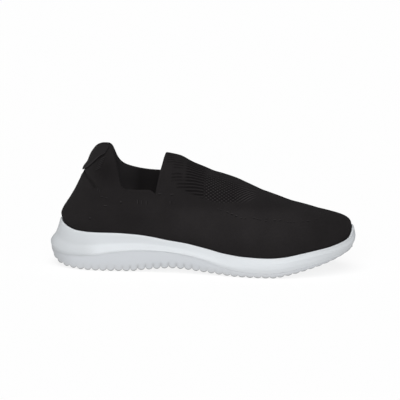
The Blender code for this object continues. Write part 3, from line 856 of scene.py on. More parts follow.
def bent_grid(columns, rows, where, **marks):
    """Lay each corner of a grid where the function says, write the named marks on it, and weld it."""
    bm = bmesh.new()
    bmesh.ops.create_grid(bm, x_segments=columns, y_segments=rows, size=1.0)
    layers = [(bm.verts.layers.float_vector.new(name), mark) for name, mark in marks.items()]
    for corner in bm.verts:
        column = round((corner.co.x + 1) / 2 * columns)
        row = round((corner.co.y + 1) / 2 * rows)
        corner.co = where(column, row)
        for layer, mark in layers:
            corner[layer] = mark(column, row)
    bmesh.ops.remove_doubles(bm, verts=bm.verts, dist=WELD_DISTANCE)
    return bm


def face_outward(bm):
    """Turn the faces of a body away from its middle."""
    bmesh.ops.recalc_face_normals(bm, faces=bm.faces)
    middle = sum((corner.co for corner in bm.verts), Vector()) / len(bm.verts)
    lean = 0.0
    for face in bm.faces:
        lean += (face.calc_center_median() - middle).dot(face.normal) * face.calc_area()
    if lean < 0:
        bmesh.ops.reverse_faces(bm, faces=bm.faces)


def finish_piece(name, bm, materials, nodes=(), sharp_angle=50.0):
    """Make the object, dress it, let it ride on the shoe and hide the node it stands for."""
    mesh = bpy.data.meshes.new(name)
    bm.to_mesh(mesh)
    bm.free()
    mesh.shade_smooth()
    mesh.set_sharp_from_angle(angle=math.radians(sharp_angle))
    for material in materials:
        mesh.materials.append(material)
    piece = bpy.data.objects.new(name, mesh)
    bpy.context.scene.collection.objects.link(piece)
    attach(piece, "root")
    for node in nodes:
        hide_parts(node)
    sides = [round(side / MM, 1) for side in piece.dimensions]
    print(name, "faces:", len(mesh.polygons), "size in mm:", sides)
    return piece


def fine_shares(step):
    """Return the shares of the columns round the shoe, at each row of the top line and evenly between."""
    shares = []
    for row, following in zip(TOP_ROWS, TOP_ROWS[1:]):
        gap = following[0] - row[0]
        parts = max(1, round(gap / step))
        shares += [row[0] + gap * k / parts for k in range(parts)]
    return shares + [1.0]


def ring_shares(half):
    """Return the side and share of each column, from the toe by the outer side to the heel and back."""
    return [(OUTER, share) for share in reversed(half)] + [(INNER, share) for share in half[1:]]


# %% [markdown]
# ## Outsole
# The tread is moulded rubber: rounded teeth run across the sole and show along its side as a scalloped
# edge. A row of separate blocks would leave hard joints, so the whole tread is one grid, bent round the
# sole section by section. Each tooth is a rounded arch with a narrow notch beside it, and a shallow
# groove climbs the side wall from each notch.

# %% Outsole sections
TOOTH_SAMPLES = 14
TOOTH_POWER = 1.75
TOOTH_PHASE = 0.22
TOOTH_LEAN_REACH = 3.0
TREAD_FINE_STEPS = 1600
TREAD_NEAR = 0.5
NOTCH_SHARE = 0.45
CHANNEL_HALF = 5.0
CHANNEL_FLOOR_HALF = 3.4
CHANNEL_DEPTH = 2.0
CHANNEL_SHARE = 0.4
CHANNEL_DEPTH_SHARE = 0.35
OUTSOLE_ENDS = (1.6, SOLE_LENGTH - 3.4)
SOLE_SEAM = 0.05
SEAM_STEP = 0.15
UNDERCUT_POWER = 2.6
CORNER_ROUND = 1.4
CORNER_SHARE = 0.35
WALL_STEPS = 14
CORNER_STEPS = 4
FLAT_STEPS = 9
GROOVE_COLUMNS = ("station", "depth")
GROOVE_ROWS = ((15, 0.0), (40, 0.12), (70, 0.22), (85, 0.42), (135, 0.42), (150, 0.16), (190, 0.0))
GROOVE_REACH = 7.5
GROOVE_FADE = 0.6
GROOVE_TOP = (0.3, 1.5)
GROOVE_SHARPNESS = 1.3
# Painted shade on the tread: darker in the grooves, along the undercut lower edge of the teeth but less in
# the notches, round the heel, on the underside of the tips and in the channel below.
GROOVE_PAINTED_SHADE = 1.9
EDGE_DARK_REACH = 1.3
EDGE_DARK_AT_HEEL = 2.6
EDGE_DARK_STATIONS = (4.0, 22.0)
TIP_PAINTED_SHADE = 0.3
NOTCH_LIGHT = 0.8
HEEL_PAINTED_SHADE = 0.42
HEEL_PAINTED_SHADE_STATIONS = (4.0, 30.0)
GROOVE = all_curves(GROOVE_COLUMNS, GROOVE_ROWS)


def notch_share(phase):
    """Return how deep the tread lies at a phase of one tooth: 0 on the tip and 1 in the notch."""
    return 1 - (1 - abs(2 * phase - 1) ** TOOTH_POWER) ** (1 / TOOTH_POWER)


def tread_stations():
    """Return the side view of the tread: place on the tips' line, true place, and share of the notch."""
    fine = np.linspace(TREAD_ROWS[0][0], TREAD_ROWS[-1][0], TREAD_FINE_STEPS)
    line = np.array([(station, TREAD["height"](station)) for station in fine])
    lengths = lengths_along(line)
    teeth = round(lengths[-1] / TOOTH_PITCH)
    pitch = lengths[-1] / teeth
    corners = []
    for sample in range(teeth * TOOTH_SAMPLES + 1):
        along = sample * pitch / TOOTH_SAMPLES
        notch = notch_share((along / pitch + TOOTH_PHASE) % 1.0)
        at = [float(value) for value in point_at(along, lengths, line)]
        ahead = point_at(along + TREAD_NEAR, lengths, line)
        behind = point_at(along - TREAD_NEAR, lengths, line)
        run = (ahead - behind) / np.hypot(*(ahead - behind))
        deep = notch * min(TREAD["notch"](at[0]), NOTCH_SHARE * (HEIGHT["line"](at[0]) - at[1]))
        corners.append((at, (at[0] - float(run[1]) * deep, at[1] + float(run[0]) * deep), notch))
    return corners


def outsole_section(line, tip, notch):
    """Return one cross-section of the outsole, all the way round, as station, aside, height and painted
    shade.

    The wall is the same beside a tooth and beside a notch, so that only the bottom edge is scalloped.
    """
    top_station = within(line[0], *OUTSOLE_ENDS)
    top_height = HEIGHT["line"](top_station) - SOLE_SEAM
    top_in = WALL["line_in"](top_station) + SEAM_STEP
    low_in = TREAD["tread_in"](line[0])
    groove = notch ** GROOVE_SHARPNESS * GROOVE["depth"](line[0])
    dark_reach = EDGE_DARK_REACH * (1 + EDGE_DARK_AT_HEEL * (1 - ramp(line[0], *EDGE_DARK_STATIONS)))
    painted_dark = HEEL_PAINTED_SHADE * (1 - ramp(line[0], *HEEL_PAINTED_SHADE_STATIONS))

    def wall_point(height):
        share = min((top_height - height) / (top_height - line[1]), 1.0)
        low = 1 - ramp(height, tip[1], tip[1] + TOOTH_LEAN_REACH)
        at = top_station + (line[0] - top_station) * share + (tip[0] - line[0]) * low
        inset = top_in + (low_in - top_in) * share ** UNDERCUT_POWER
        climb = 1 - ramp(height, line[1] + GROOVE_FADE * GROOVE_REACH, line[1] + GROOVE_REACH)
        pressed = groove * climb * ramp(top_height - height, *GROOVE_TOP)
        # Painted shade: darkest along the lower edge, in the grooves and round the heel.
        edge_dark = (1 - ramp(height, tip[1], tip[1] + dark_reach)) * (1 - NOTCH_LIGHT * notch)
        dark = max(edge_dark, GROOVE_PAINTED_SHADE * groove * climb, painted_dark)
        return half_width(at, inset) - pressed, height, at, dark

    # The lower corner, the tips' underside and the channel carry painted shade as well.
    corner = min(CORNER_ROUND, CORNER_SHARE * (top_height - tip[1]))
    half_ring = []
    for step in range(WALL_STEPS + 1):
        half_ring.append(wall_point(top_height + (tip[1] + corner - top_height) * step / WALL_STEPS))
    side_half = half_ring[-1][0]
    for step in range(1, CORNER_STEPS + 1):
        angle = step / CORNER_STEPS * math.pi / 2
        half = max(side_half - corner * (1 - math.cos(angle)), 0.0)
        half_ring.append((half, tip[1] + corner * (1 - math.sin(angle)), tip[0], 1 - NOTCH_LIGHT * notch))
    low_half = half_ring[-1][0]
    channel = min(CHANNEL_HALF, CHANNEL_SHARE * low_half)
    floor = channel * CHANNEL_FLOOR_HALF / CHANNEL_HALF
    deep = tip[1] + min(CHANNEL_DEPTH, CHANNEL_DEPTH_SHARE * (top_height - tip[1]))
    for step in range(1, FLAT_STEPS + 1):
        half = low_half + (channel - low_half) * step / FLAT_STEPS
        half_ring.append((half, tip[1], tip[0], TIP_PAINTED_SHADE * (1 - notch)))
    half_ring.append((0.5 * (channel + floor), 0.5 * (tip[1] + deep), tip[0], 1.0))
    half_ring.append((floor, deep, tip[0], 1.0))
    half_ring.append((0.5 * floor, deep, tip[0], 1.0))
    middle = PLAN["middle"](line[0])
    ring = [(at, middle - half, height, dark) for half, height, at, dark in half_ring]
    ring += [(at, middle + half, height, dark) for half, height, at, dark in reversed(half_ring)]
    return ring + ring[:1]


# %% Outsole
def make_outsole():
    """Bend a grid round the sole, section by section, and close its two ends."""
    sections = [outsole_section(*corner) for corner in tread_stations()]

    def where(column, row):
        return place(*sections[column][row][:3])

    def shade(column, row):
        return sections[column][row][3], 0.0, 0.0

    bm = bent_grid(len(sections) - 1, len(sections[0]) - 1, where, rubbed=shade)
    bmesh.ops.holes_fill(bm, edges=[edge for edge in bm.edges if edge.is_boundary], sides=0)
    face_outward(bm)
    return finish_piece("outsole_tread", bm, [OUTSOLE_RUBBER], ["outsole"], sharp_angle=40.0)


make_outsole()

# %% [markdown]
# ## Midsole
# The midsole is one piece of foam, moulded as a cup: a flaring shoulder low down, a hollow waist above
# it, and a thin lip that holds the upper. A loft through a smooth profile gives that in one go, where
# stacked slabs would show steps. The profile is a curve through the shoulder, waist and lip, and it
# changes on the way round.

# %% Midsole
MIDSOLE_STEP = 0.006
WALL_RISES = 18
LIP_COLUMNS = ("inset", "drop")
LIP_ROWS = (
    (0.0, 1.6), (0.05, 1.0), (0.3, 0.45), (0.7, 0.12),
    (1.2, 0.0), (1.7, 0.08), (2.05, 0.4), (RIM_WALL, 0.9),
)
LIP = named_rows(LIP_COLUMNS, LIP_ROWS)
LAYER_STEPS = (1.0, 0.8, 0.6, 0.4, 0.2, 0.0)
# Painted shade on the foam: greyer at the foot of the wall round the heel and at the lip round the toe,
# where the light falls off.
FOAM_PAINTED_SHADE_COLUMNS = ("station", "low", "high")
FOAM_PAINTED_SHADE_ROWS = (
    (0, 0.36, 0.10),
    (34, 0.34, 0.10),
    (54, 0.02, 0.05),
    (120, 0.02, 0.05),
    (225, 0.00, 0.06),
    (262, 0.00, 0.20),
    (285, 0.00, 0.32),
    (295, 0.00, 0.36),
)
FOAM_PAINTED_SHADE = all_curves(FOAM_PAINTED_SHADE_COLUMNS, FOAM_PAINTED_SHADE_ROWS)
SOLE_SPINE = (30.0, SOLE_LENGTH - 42.0)
INSOLE_SPINE = (34.0, SOLE_LENGTH - 46.0)


def layer_point(side, share, inset, inner, height, spine):
    """Return a point of a flat layer: inner is 0 on its edge and 1 on its middle line."""
    edge = inset_point(side, share, inset)
    middle_station = spine[0] + (spine[1] - spine[0]) * share
    station = edge[0] + (middle_station - edge[0]) * inner
    aside = edge[1] + (PLAN["middle"](middle_station) - edge[1]) * inner
    return place(station, aside, height(station))


def wall_inset(station, rise):
    """Return how far the midsole's wall stands in from the plan at a share of its height."""
    rows = (
        (0.0, WALL["line_in"](station)),
        (WALL["shoulder_rise"](station), WALL["shoulder_in"](station)),
        (WALL["waist_rise"](station), WALL["waist_in"](station)),
        (1.0, WALL["rim_in"](station)),
    )
    return smooth_curve(("rise", "inset"), rows, "inset")(rise)


def midsole_rows():
    """Return the midsole's profile, from the middle below to the middle of the bed."""
    def underside(station):
        return HEIGHT["line"](station) + SOLE_SEAM

    def below(inner):
        def row(side, share):
            inset = WALL["line_in"](outline_point(side, share)[0])
            return layer_point(side, share, inset, inner, underside, SOLE_SPINE)
        return row

    def wall(rise):
        def row(side, share):
            station = outline_point(side, share)[0]
            rim = rim_height(side, share) - LIP[0]["drop"]
            line = underside(station)
            return place(*inset_point(side, share, wall_inset(station, rise)), line + (rim - line) * rise)
        return row

    def lip(inset, drop):
        def row(side, share):
            station = outline_point(side, share)[0]
            at = inset_point(side, share, WALL["rim_in"](station) + inset)
            return place(*at, rim_height(side, share) - drop)
        return row

    def bed(inner):
        def row(side, share):
            inset = WALL["rim_in"](outline_point(side, share)[0]) + RIM_WALL
            return layer_point(side, share, inset, inner, HEIGHT["bed"], SOLE_SPINE)
        return row

    rows = [below(inner) for inner in LAYER_STEPS]
    rows += [wall(rise / WALL_RISES) for rise in range(1, WALL_RISES)]
    rows += [lip(**at) for at in LIP]
    rows += [bed(inner) for inner in reversed(LAYER_STEPS)]
    return rows


def make_midsole():
    """Loft the foam cup round the shoe."""
    profile = midsole_rows()
    ring = ring_shares(fine_shares(MIDSOLE_STEP))

    def where(column, row):
        return profile[row](*ring[column])

    def foam_painted_shade(column, row):
        station = where(column, row).x / MM + SOLE_LENGTH / 2
        climb = ramp(row, len(LAYER_STEPS), len(LAYER_STEPS) + WALL_RISES)
        return FOAM_PAINTED_SHADE["low"](station) * (1 - climb) + FOAM_PAINTED_SHADE["high"](station) * climb, 0.0, 0.0

    bm = bent_grid(len(ring) - 1, len(profile) - 1, where, rubbed=foam_painted_shade)
    face_outward(bm)
    return finish_piece("midsole_foam", bm, [MIDSOLE_FOAM], ["midsole"], sharp_angle=60.0)


make_midsole()

# %% [markdown]
# ## Insole
# A loose liner lies on the footbed. It hardly shows, but from above one looks straight down on it, so it
# gets a rounded edge and its own cloth. It follows the bed's own heights: a flat plate would float over
# the arch.

# %% Insole
INSOLE_STEP = 0.012
INSOLE_EDGE_ROUND = 1.4
INSOLE_EDGE_TURNS = (0.0, 0.3, 0.6, 0.85)
INSOLE_INNER_STEPS = (0.0, 0.15, 0.3, 0.5, 0.75, 1.0)


def make_insole():
    """Lay the liner on the footbed, with a rounded upper edge."""
    def flat(inner, rise, inset_more):
        def height(station):
            return HEIGHT["bed"](station) + GAP + rise

        def row(side, share):
            inset = feather_inset(outline_point(side, share)[0]) + UPPER_WALL + GAP + inset_more
            return layer_point(side, share, inset, inner, height, INSOLE_SPINE)
        return row

    profile = [flat(inner, 0.0, 0.0) for inner in reversed(INSOLE_INNER_STEPS)]
    for turn in INSOLE_EDGE_TURNS:
        angle = turn * math.pi / 2
        drop = INSOLE_EDGE_ROUND * (1 - math.sin(angle))
        profile.append(flat(0.0, INSOLE_THICKNESS - drop, INSOLE_EDGE_ROUND * (1 - math.cos(angle))))
    profile += [flat(inner, INSOLE_THICKNESS, INSOLE_EDGE_ROUND) for inner in INSOLE_INNER_STEPS]
    ring = ring_shares(fine_shares(INSOLE_STEP))

    def where(column, row):
        return profile[row](*ring[column])

    def lengths(column, row):
        at = where(column, row) / MM
        return at.x + SOLE_LENGTH / 2, at.y, 0.0

    bm = bent_grid(len(ring) - 1, len(profile) - 1, where, cloth_place=lengths)
    face_outward(bm)
    return finish_piece("insole_cloth", bm, [UPPER_LINING], ["insole"], sharp_angle=60.0)


make_insole()

# %% [markdown]
# ## The upper's own surface
# The knit shell rises from the feather edge of the sole. Behind the throat its two sides stay open and
# lean in a little; in front of it they close to an arch over the foot. One function gives any point of
# the outer face from three things: the side, the share of the way round and the share of the way up.


# %% Surface of the upper
CLOSING_NEAR = 0.01
CLOSING_FROM = 0.364
CLOSING_STEEPEST = 0.35


def closing_turn(share, foot_station, height):
    """Return the turn with which a wall meets the crest's own slope, so that the arch closes smoothly."""
    ahead = min(share + CLOSING_NEAR, 1.0)
    behind = max(share - CLOSING_NEAR, CREST_START)
    fall = TOP["height_out"](behind) - TOP["height_out"](ahead)
    slope = fall / (TOP["station_out"](ahead) - TOP["station_out"](behind))
    reach = foot_station - TOP["station_out"](share)
    steepness = within(slope * reach / height, 0.0, CLOSING_STEEPEST)
    return math.acos(steepness / (1 - steepness)) / (math.pi / 2)


@lru_cache(maxsize=None)
def upper_column(side, share):
    """Return what one column of the upper needs: its foot, its top, its turn and its lean."""
    outline_station, _, inward_way = outline_point(side, share)
    foot = inset_point(side, share, feather_inset(outline_station))
    bed_height = HEIGHT["bed"](foot[0]) + GAP
    start_height = rim_height(side, share) + GAP
    edge = "out" if side == OUTER else "in"
    top_station = TOP["station_" + edge](share)
    top_height = TOP["height_" + edge](share)
    top_aside = CREST["crest"](top_station) + side * TOP["aside"](share)
    closing_foot = max(foot[0], outline_point(side, CREST_START)[0])
    close = closing_turn(max(share, CREST_START), closing_foot, top_height - start_height)
    soft = ramp(share, CLOSING_FROM, CREST_START)
    turn = TOP["turn"](share) * (1 + (close - 1) * soft)
    heel = ramp(1 - share / HEEL_LEAN_REACH, 0.0, 1.0)
    return foot, bed_height, start_height, (top_station, top_aside, top_height), turn, heel, inward_way


def upper_point(side, share, rise):
    """Return a point of the upper's outer face, with the rise -1 on the footbed, 0 at the rim, 1 on top."""
    foot, bed_height, start_height, top, turn, heel, inward_way = upper_column(side, share)
    if rise < 0:
        return place(*foot, start_height + (start_height - bed_height) * rise)
    whole = turn * math.pi / 2
    inward = (1 - math.cos(rise * whole)) / (1 - math.cos(whole))
    upward = math.sin(rise * whole) / math.sin(whole)
    forward = heel * LEAN["forward"](upward) + (1 - heel) * inward
    bulge = SIDE_BULGE * math.sin(math.pi * rise) ** 2 * (1 - heel)
    station = foot[0] + (top[0] - foot[0]) * forward - inward_way[0] * bulge
    aside = foot[1] + (top[1] - foot[1]) * inward - inward_way[1] * bulge
    return place(station, aside, start_height + (top[2] - start_height) * upward)


print("top of the heel:", [round(value, 4) for value in upper_point(OUTER, 0.0, 1.0)])

# %% [markdown]
# ## Creases
# Soft knit buckles where the foot bends it and where the heel collapses it. Cloth simulation could find
# folds of its own, but not these ones, so the main creases are listed one by one: each is a soft trough or
# ridge along a short line on the side view, with its depth and width in millimetres.

# %% Crease table
CREASE_COLUMNS = ("side", "station", "height", "to_station", "to_height", "depth", "width")
CREASE_ROWS = (
    (OUTER, 32.5, 91.8, 44.5, 80.0, 2.4, 2.2),
    (OUTER, 36.0, 94.0, 47.5, 82.0, -0.7, 2.4),
    (OUTER, 31.0, 87.5, 41.5, 77.0, -0.5, 2.4),
    (OUTER, 30.0, 86.0, 16.0, 62.0, -0.45, 1.4),
    (OUTER, 52.0, 66.0, 68.0, 63.0, 0.7, 5.0),
    (OUTER, 58.0, 88.0, 62.0, 72.0, 0.6, 4.0),
    (OUTER, 118.0, 60.0, 150.0, 50.0, 0.5, 9.0),
    (OUTER, 208.0, 58.0, 222.0, 30.0, 0.5, 7.0),
    (OUTER, 226.0, 56.0, 242.0, 36.0, 0.4, 6.0),
    (INNER, 33.0, 92.0, 42.0, 80.0, 1.1, 1.9),
    (INNER, 36.0, 95.0, 46.0, 82.0, -0.5, 2.8),
    (INNER, 54.0, 66.0, 72.0, 64.0, 0.6, 5.5),
    (INNER, 120.0, 62.0, 156.0, 46.0, 0.8, 9.0),
    (INNER, 206.0, 58.0, 218.0, 30.0, 0.6, 7.0),
    (INNER, 226.0, 54.0, 240.0, 34.0, 0.4, 6.0),
)
RIDGE_DIP_COLUMNS = ("station", "depth", "length", "half_width")
RIDGE_DIP_ROWS = (
    (157.0, 0.6, 6.0, 14.0),
    (180.0, -0.3, 8.0, 16.0),
    (204.0, 0.6, 6.0, 16.0),
    (232.0, 0.3, 7.0, 20.0),
)
RIDGE_FROM = 50.0
CREASE_REACH = 3.0
CREASES = named_rows(CREASE_COLUMNS, CREASE_ROWS)
RIDGE_DIPS = named_rows(RIDGE_DIP_COLUMNS, RIDGE_DIP_ROWS)


def distance_to_line(at, start, end):
    """Return how far a place lies from a short line."""
    run = (end[0] - start[0], end[1] - start[1])
    share = ((at[0] - start[0]) * run[0] + (at[1] - start[1]) * run[1]) / (run[0] ** 2 + run[1] ** 2)
    share = within(share, 0.0, 1.0)
    return math.hypot(at[0] - start[0] - share * run[0], at[1] - start[1] - share * run[1])


def crease_depth(side, station, aside, height):
    """Return how far the cloth is pressed in at a place, in millimetres."""
    depth = 0.0
    for crease in CREASES:
        if side == crease["side"]:
            start = (crease["station"], crease["height"])
            end = (crease["to_station"], crease["to_height"])
            away = distance_to_line((station, height), start, end) / crease["width"]
            if away < CREASE_REACH:
                depth += crease["depth"] * math.exp(-away * away)
    for dip in RIDGE_DIPS:
        along = (station - dip["station"]) / dip["length"]
        across = (aside - CREST["crest"](station)) / dip["half_width"]
        if abs(along) < CREASE_REACH and abs(across) < CREASE_REACH and height > RIDGE_FROM:
            depth += dip["depth"] * math.exp(-along * along - across * across)
    return depth


print("creases:", len(CREASES), "and dips on the ridge:", len(RIDGE_DIPS))

# %% [markdown]
# ## Zones of the knit
# Three stitches make the upper: raised ribs over the instep behind, a trellis of diamonds in front of
# them, and plain fine knit everywhere else. The zones are soft masks in the shoe's own stations and
# heights, so they can be read and moved like any other size. Painted light and shade go with them: the
# side panel is a trace lighter with painted light, and the cloth under the heel band and beside the toe a
# trace darker with painted shade.

# %% Zones
RIB_STATIONS = (130.0, 135.0, 147.5, 152.0)
RIB_PATCH_COLUMNS = ("station", "height", "half_length", "half_height")
RIB_PATCH_ROWS = (
    (116.8, 106.3, 4.2, 5.2),
    (124.1, 101.0, 5.2, 3.8),
    (123.5, 91.0, 5.6, 4.4),
    (128.5, 83.2, 5.2, 4.0),
)
RIB_PATCH_SHARE = 0.45
RIB_PATCH_EDGE = (0.7, 1.1)
DIAMOND_STATIONS = (147.0, 152.0, 192.0, 203.0)
FIELD_COLUMNS = ("station", "lower", "ribs_upper", "diamonds_upper")
FIELD_ROWS = (
    (105, 80.0, 103.5, 93.0),
    (134, 77.0, 103.5, 93.0),
    (150, 71.5, 97.0, 92.0),
    (160, 69.0, 96.0, 90.0),
    (169, 68.5, 95.0, 87.5),
    (180, 69.0, 94.0, 83.8),
    (192, 70.5, 93.0, 79.5),
    (203, 72.0, 92.0, 76.0),
)
ZONE_SOFT = 2.0
PANEL_HEIGHTS = (26.0, 42.0, 58.0, 66.0)
PANEL_STATIONS = (70.0, 150.0, 220.0, 270.0)
PANEL_PAINTED_LIGHT = 0.12
SHADE_PATCH_COLUMNS = ("station", "height", "half_length", "half_height", "change")
SHADE_PATCH_ROWS = (
    (57.0, 94.0, 13.0, 12.0, -0.15),
    (262.0, 42.0, 22.0, 14.0, -0.09),
)
RIB_PATCHES = named_rows(RIB_PATCH_COLUMNS, RIB_PATCH_ROWS)
SHADE_PATCHES = named_rows(SHADE_PATCH_COLUMNS, SHADE_PATCH_ROWS)
FIELD = all_curves(FIELD_COLUMNS, FIELD_ROWS)


def band(value, edges):
    """Return a soft band: up between the first two edges, down between the last two."""
    return ramp(value, edges[0], edges[1]) * (1 - ramp(value, edges[2], edges[3]))


def row_distances(row, station, height):
    """Return how far a place is from a row's middle, along and up, in the row's own half sizes."""
    return (station - row["station"]) / row["half_length"], (height - row["height"]) / row["half_height"]


def knit_zones(station, height):
    """Return how much of ribs, of diamonds and of painted light and shade a place of the upper has."""
    def over(line):
        edge = FIELD[line](station)
        return ramp(height, edge - ZONE_SOFT, edge + ZONE_SOFT)

    ribs = band(station, RIB_STATIONS) * over("lower") * (1 - over("ribs_upper"))
    diamonds = band(station, DIAMOND_STATIONS) * over("lower") * (1 - over("diamonds_upper"))
    for patch in RIB_PATCHES:
        along, up = row_distances(patch, station, height)
        ribs = max(ribs, RIB_PATCH_SHARE * (1 - ramp(max(abs(along), abs(up)), *RIB_PATCH_EDGE)))
    # Painted light on the side panel; painted shade under the heel band and beside the toe.
    lift = band(height, PANEL_HEIGHTS) * band(station, PANEL_STATIONS) * PANEL_PAINTED_LIGHT
    for shade_patch in SHADE_PATCHES:
        along, up = row_distances(shade_patch, station, height)
        lift += shade_patch["change"] * math.exp(-along ** 2 - up ** 2)
    return ribs, diamonds, lift


print("rib patches:", len(RIB_PATCHES), "and soft tones:", len(SHADE_PATCHES))

# %% [markdown]
# ## The knit upper
# The outer face is laid first and creased. Its own normals then give the wall its thickness, and the cut
# edge of the collar is rounded, because a knit collar is folded over and not cut square. A second face
# laid by hand would wander from the first, so the inner one is made from the finished outer one.

# %% The knit upper
UPPER_STEP = 0.0058
HEEL_COLUMNS_UNTIL = 0.165
UPPER_MESH_ROWS = 84
RISES_BELOW_RIM = [-1.0, -0.5]
FOLD_ROUND = 0.9
FOLD_CUTS = 3
FOLD_WITHIN = 0.999
# Painted shadow on the cloth under the heel band's edge.
BAND_SHADOW_WIDTH = 0.020
BAND_SHADOW_DARK = -0.9


def band_shadow(share, rise):
    """Return the painted shadow on the cloth just below the heel band's edge."""
    if share > TAB_ROWS[-1][0]:
        return 0.0
    away = (rise - TAB["lower_edge"](share) + 0.5 * BAND_SHADOW_WIDTH) / BAND_SHADOW_WIDTH
    return BAND_SHADOW_DARK * math.exp(-away * away)


def make_upper():
    """Lay the outer face, crease it, give it its wall and round the folded edge of the collar."""
    half = [share for share in fine_shares(UPPER_STEP / 2) if share < HEEL_COLUMNS_UNTIL]
    half += [share for share in fine_shares(UPPER_STEP) if share >= HEEL_COLUMNS_UNTIL]
    ring = ring_shares(half)
    rises = RISES_BELOW_RIM + [row / UPPER_MESH_ROWS for row in range(UPPER_MESH_ROWS + 1)]
    points = [[upper_point(side, share, rise) for rise in rises] for side, share in ring]
    ups = []
    for line in points:
        steps = [0.0] + [(upper - lower).length / MM for lower, upper in zip(line, line[1:])]
        ups.append([float(up) for up in np.cumsum(steps)])

    def station_of(column, row):
        return points[column][row].x / MM + SOLE_LENGTH / 2

    def lengths(column, row):
        return station_of(column, row), ups[column][row], ring[column][0]

    def zones(column, row):
        ribs, diamonds, lift = knit_zones(station_of(column, row), points[column][row].z / MM)
        return ribs, diamonds, lift + band_shadow(ring[column][1], rises[row])

    bm = bent_grid(len(ring) - 1, len(rises) - 1, lambda column, row: points[column][row],
                   cloth_place=lengths, cloth_zone=zones)
    face_outward(bm)
    bm.normal_update()
    sides = bm.verts.layers.float_vector["cloth_place"]
    presses = []
    for corner in bm.verts:
        station = corner.co.x / MM + SOLE_LENGTH / 2
        depth = crease_depth(int(corner[sides].z), station, corner.co.y / MM, corner.co.z / MM)
        presses.append((corner, corner.normal * (-depth * MM)))
    for corner, press in presses:
        corner.co += press
    bm.normal_update()
    solid_upper(bm)
    return finish_piece("knit_upper", bm, [UPPER_KNIT, UPPER_LINING], ["upper"], sharp_angle=70.0)


def solid_upper(bm):
    """Give the face a wall inward, mark the inner face as lining and round the folded rim.

    Each inner corner is laid by the outer one's own normal, because a wall that is kept equally thick at
    every bend would throw spikes where the crest ends.
    """
    number = bm.verts.layers.int.new("number")
    wall = bm.verts.layers.float.new("wall")
    bm.verts.ensure_lookup_table()
    for corner in bm.verts:
        corner[number] = corner.index
    outer = set(bm.verts)
    inner_places = [corner.co - corner.normal * UPPER_WALL * MM for corner in bm.verts]
    bmesh.ops.solidify(bm, geom=bm.faces[:], thickness=UPPER_WALL * MM)
    for corner in bm.verts:
        corner[wall] = 0.0 if corner in outer else 1.0
        if corner not in outer:
            corner.co = inner_places[corner[number]]
    for face in bm.faces:
        face.material_index = int(all(corner[wall] == 1.0 for corner in face.verts))
    rim = [edge for edge in bm.edges if abs(edge.verts[0][wall] - edge.verts[1][wall]) == 1.0]
    bmesh.ops.subdivide_edges(bm, edges=rim, cuts=FOLD_CUTS, use_grid_fill=True)
    bm.normal_update()
    for corner in bm.verts:
        across = 2 * corner[wall] - 1
        if abs(across) < FOLD_WITHIN:
            corner.co += corner.normal * FOLD_ROUND * MM * math.sqrt(1 - across * across)
    bm.verts.layers.float.remove(wall)
    bm.verts.layers.int.remove(bm.verts.layers.int["number"])
    bm.normal_update()


make_upper()

# %% [markdown]
# ## Heel band
# A band is sewn over the back of the collar, where a hand pulls the shoe on. It is deepest at the middle
# of the heel and runs out forward. A flat strip would have to be bent to fit. Cutting the band from the
# upper's own surface, a little proud of it, keeps it tight to the knit all the way, and a small bevel
# turns its cut edge into a sewn one.

# %% Heel band
SURFACE_STEP = 0.003
BAND_STEP = 0.0045
BAND_LIFT = 0.15
BAND_ROWS = 20
BAND_EDGE = 0.35
BAND_EDGE_HIGHLIGHT = 0.7


def upper_normal(side, share, rise):
    """Return the outward direction of the upper's outer face, for a place behind the middle of the shoe."""
    step = SURFACE_STEP
    if share > step:
        behind = upper_point(side, share - step, rise)
    else:
        behind = upper_point(-side, step - share, rise)
    along = upper_point(side, share + step, rise) - behind
    up = upper_point(side, share, min(rise + step, 1.0)) - upper_point(side, share, rise - step)
    outward = along.cross(up).normalized()
    return -outward if outward.x > 0 else outward


def make_heel_band():
    """Cut the band from the upper's surface, give it its thickness and soften its edge."""
    ring = ring_shares([share for share in fine_shares(BAND_STEP) if share <= TAB_ROWS[-1][0]])

    def where(column, row):
        side, share = ring[column]
        low = TAB["lower_edge"](share)
        rise = low + (TAB_TOP - low) * row / BAND_ROWS
        outward = upper_normal(side, share, rise)
        return upper_point(side, share, rise) + outward * (BAND_LIFT + TAB_THICKNESS) * MM

    def lengths(column, row):
        at = where(column, row) / MM
        return at.y, at.z, 0.0

    # A painted highlight along the band's lowest row, its folded edge.
    def zones(column, row):
        return 0.0, 0.0, BAND_EDGE_HIGHLIGHT if row == 0 else 0.0

    bm = bent_grid(len(ring) - 1, BAND_ROWS, where, cloth_place=lengths, cloth_zone=zones)
    face_outward(bm)
    if sum(face.normal.x for face in bm.faces) > 0:
        bmesh.ops.reverse_faces(bm, faces=bm.faces)
    bm.normal_update()
    rim = [edge for edge in bm.edges if edge.is_boundary]
    bmesh.ops.solidify(bm, geom=bm.faces[:], thickness=TAB_THICKNESS * MM)
    bmesh.ops.bevel(bm, geom=rim, offset=BAND_EDGE * MM, segments=3, profile=0.5, affect="EDGES",
                    material=-1, clamp_overlap=True)
    return finish_piece("heel_band", bm, [BAND_KNIT], ["heel_tab"], sharp_angle=60.0)


make_heel_band()

# %% [markdown]
# ## Stitches and knit marks
# A few marks stand in the knit: slanted stitches under the heel band, dashes and ticks on the side, and a
# broken arc of raised loops along the panel. They are too few and too irregular for a texture, so each is a
# small bead, sunk by half into the cloth at its place on the side view, with a dark bead right below it as a
# painted shadow.

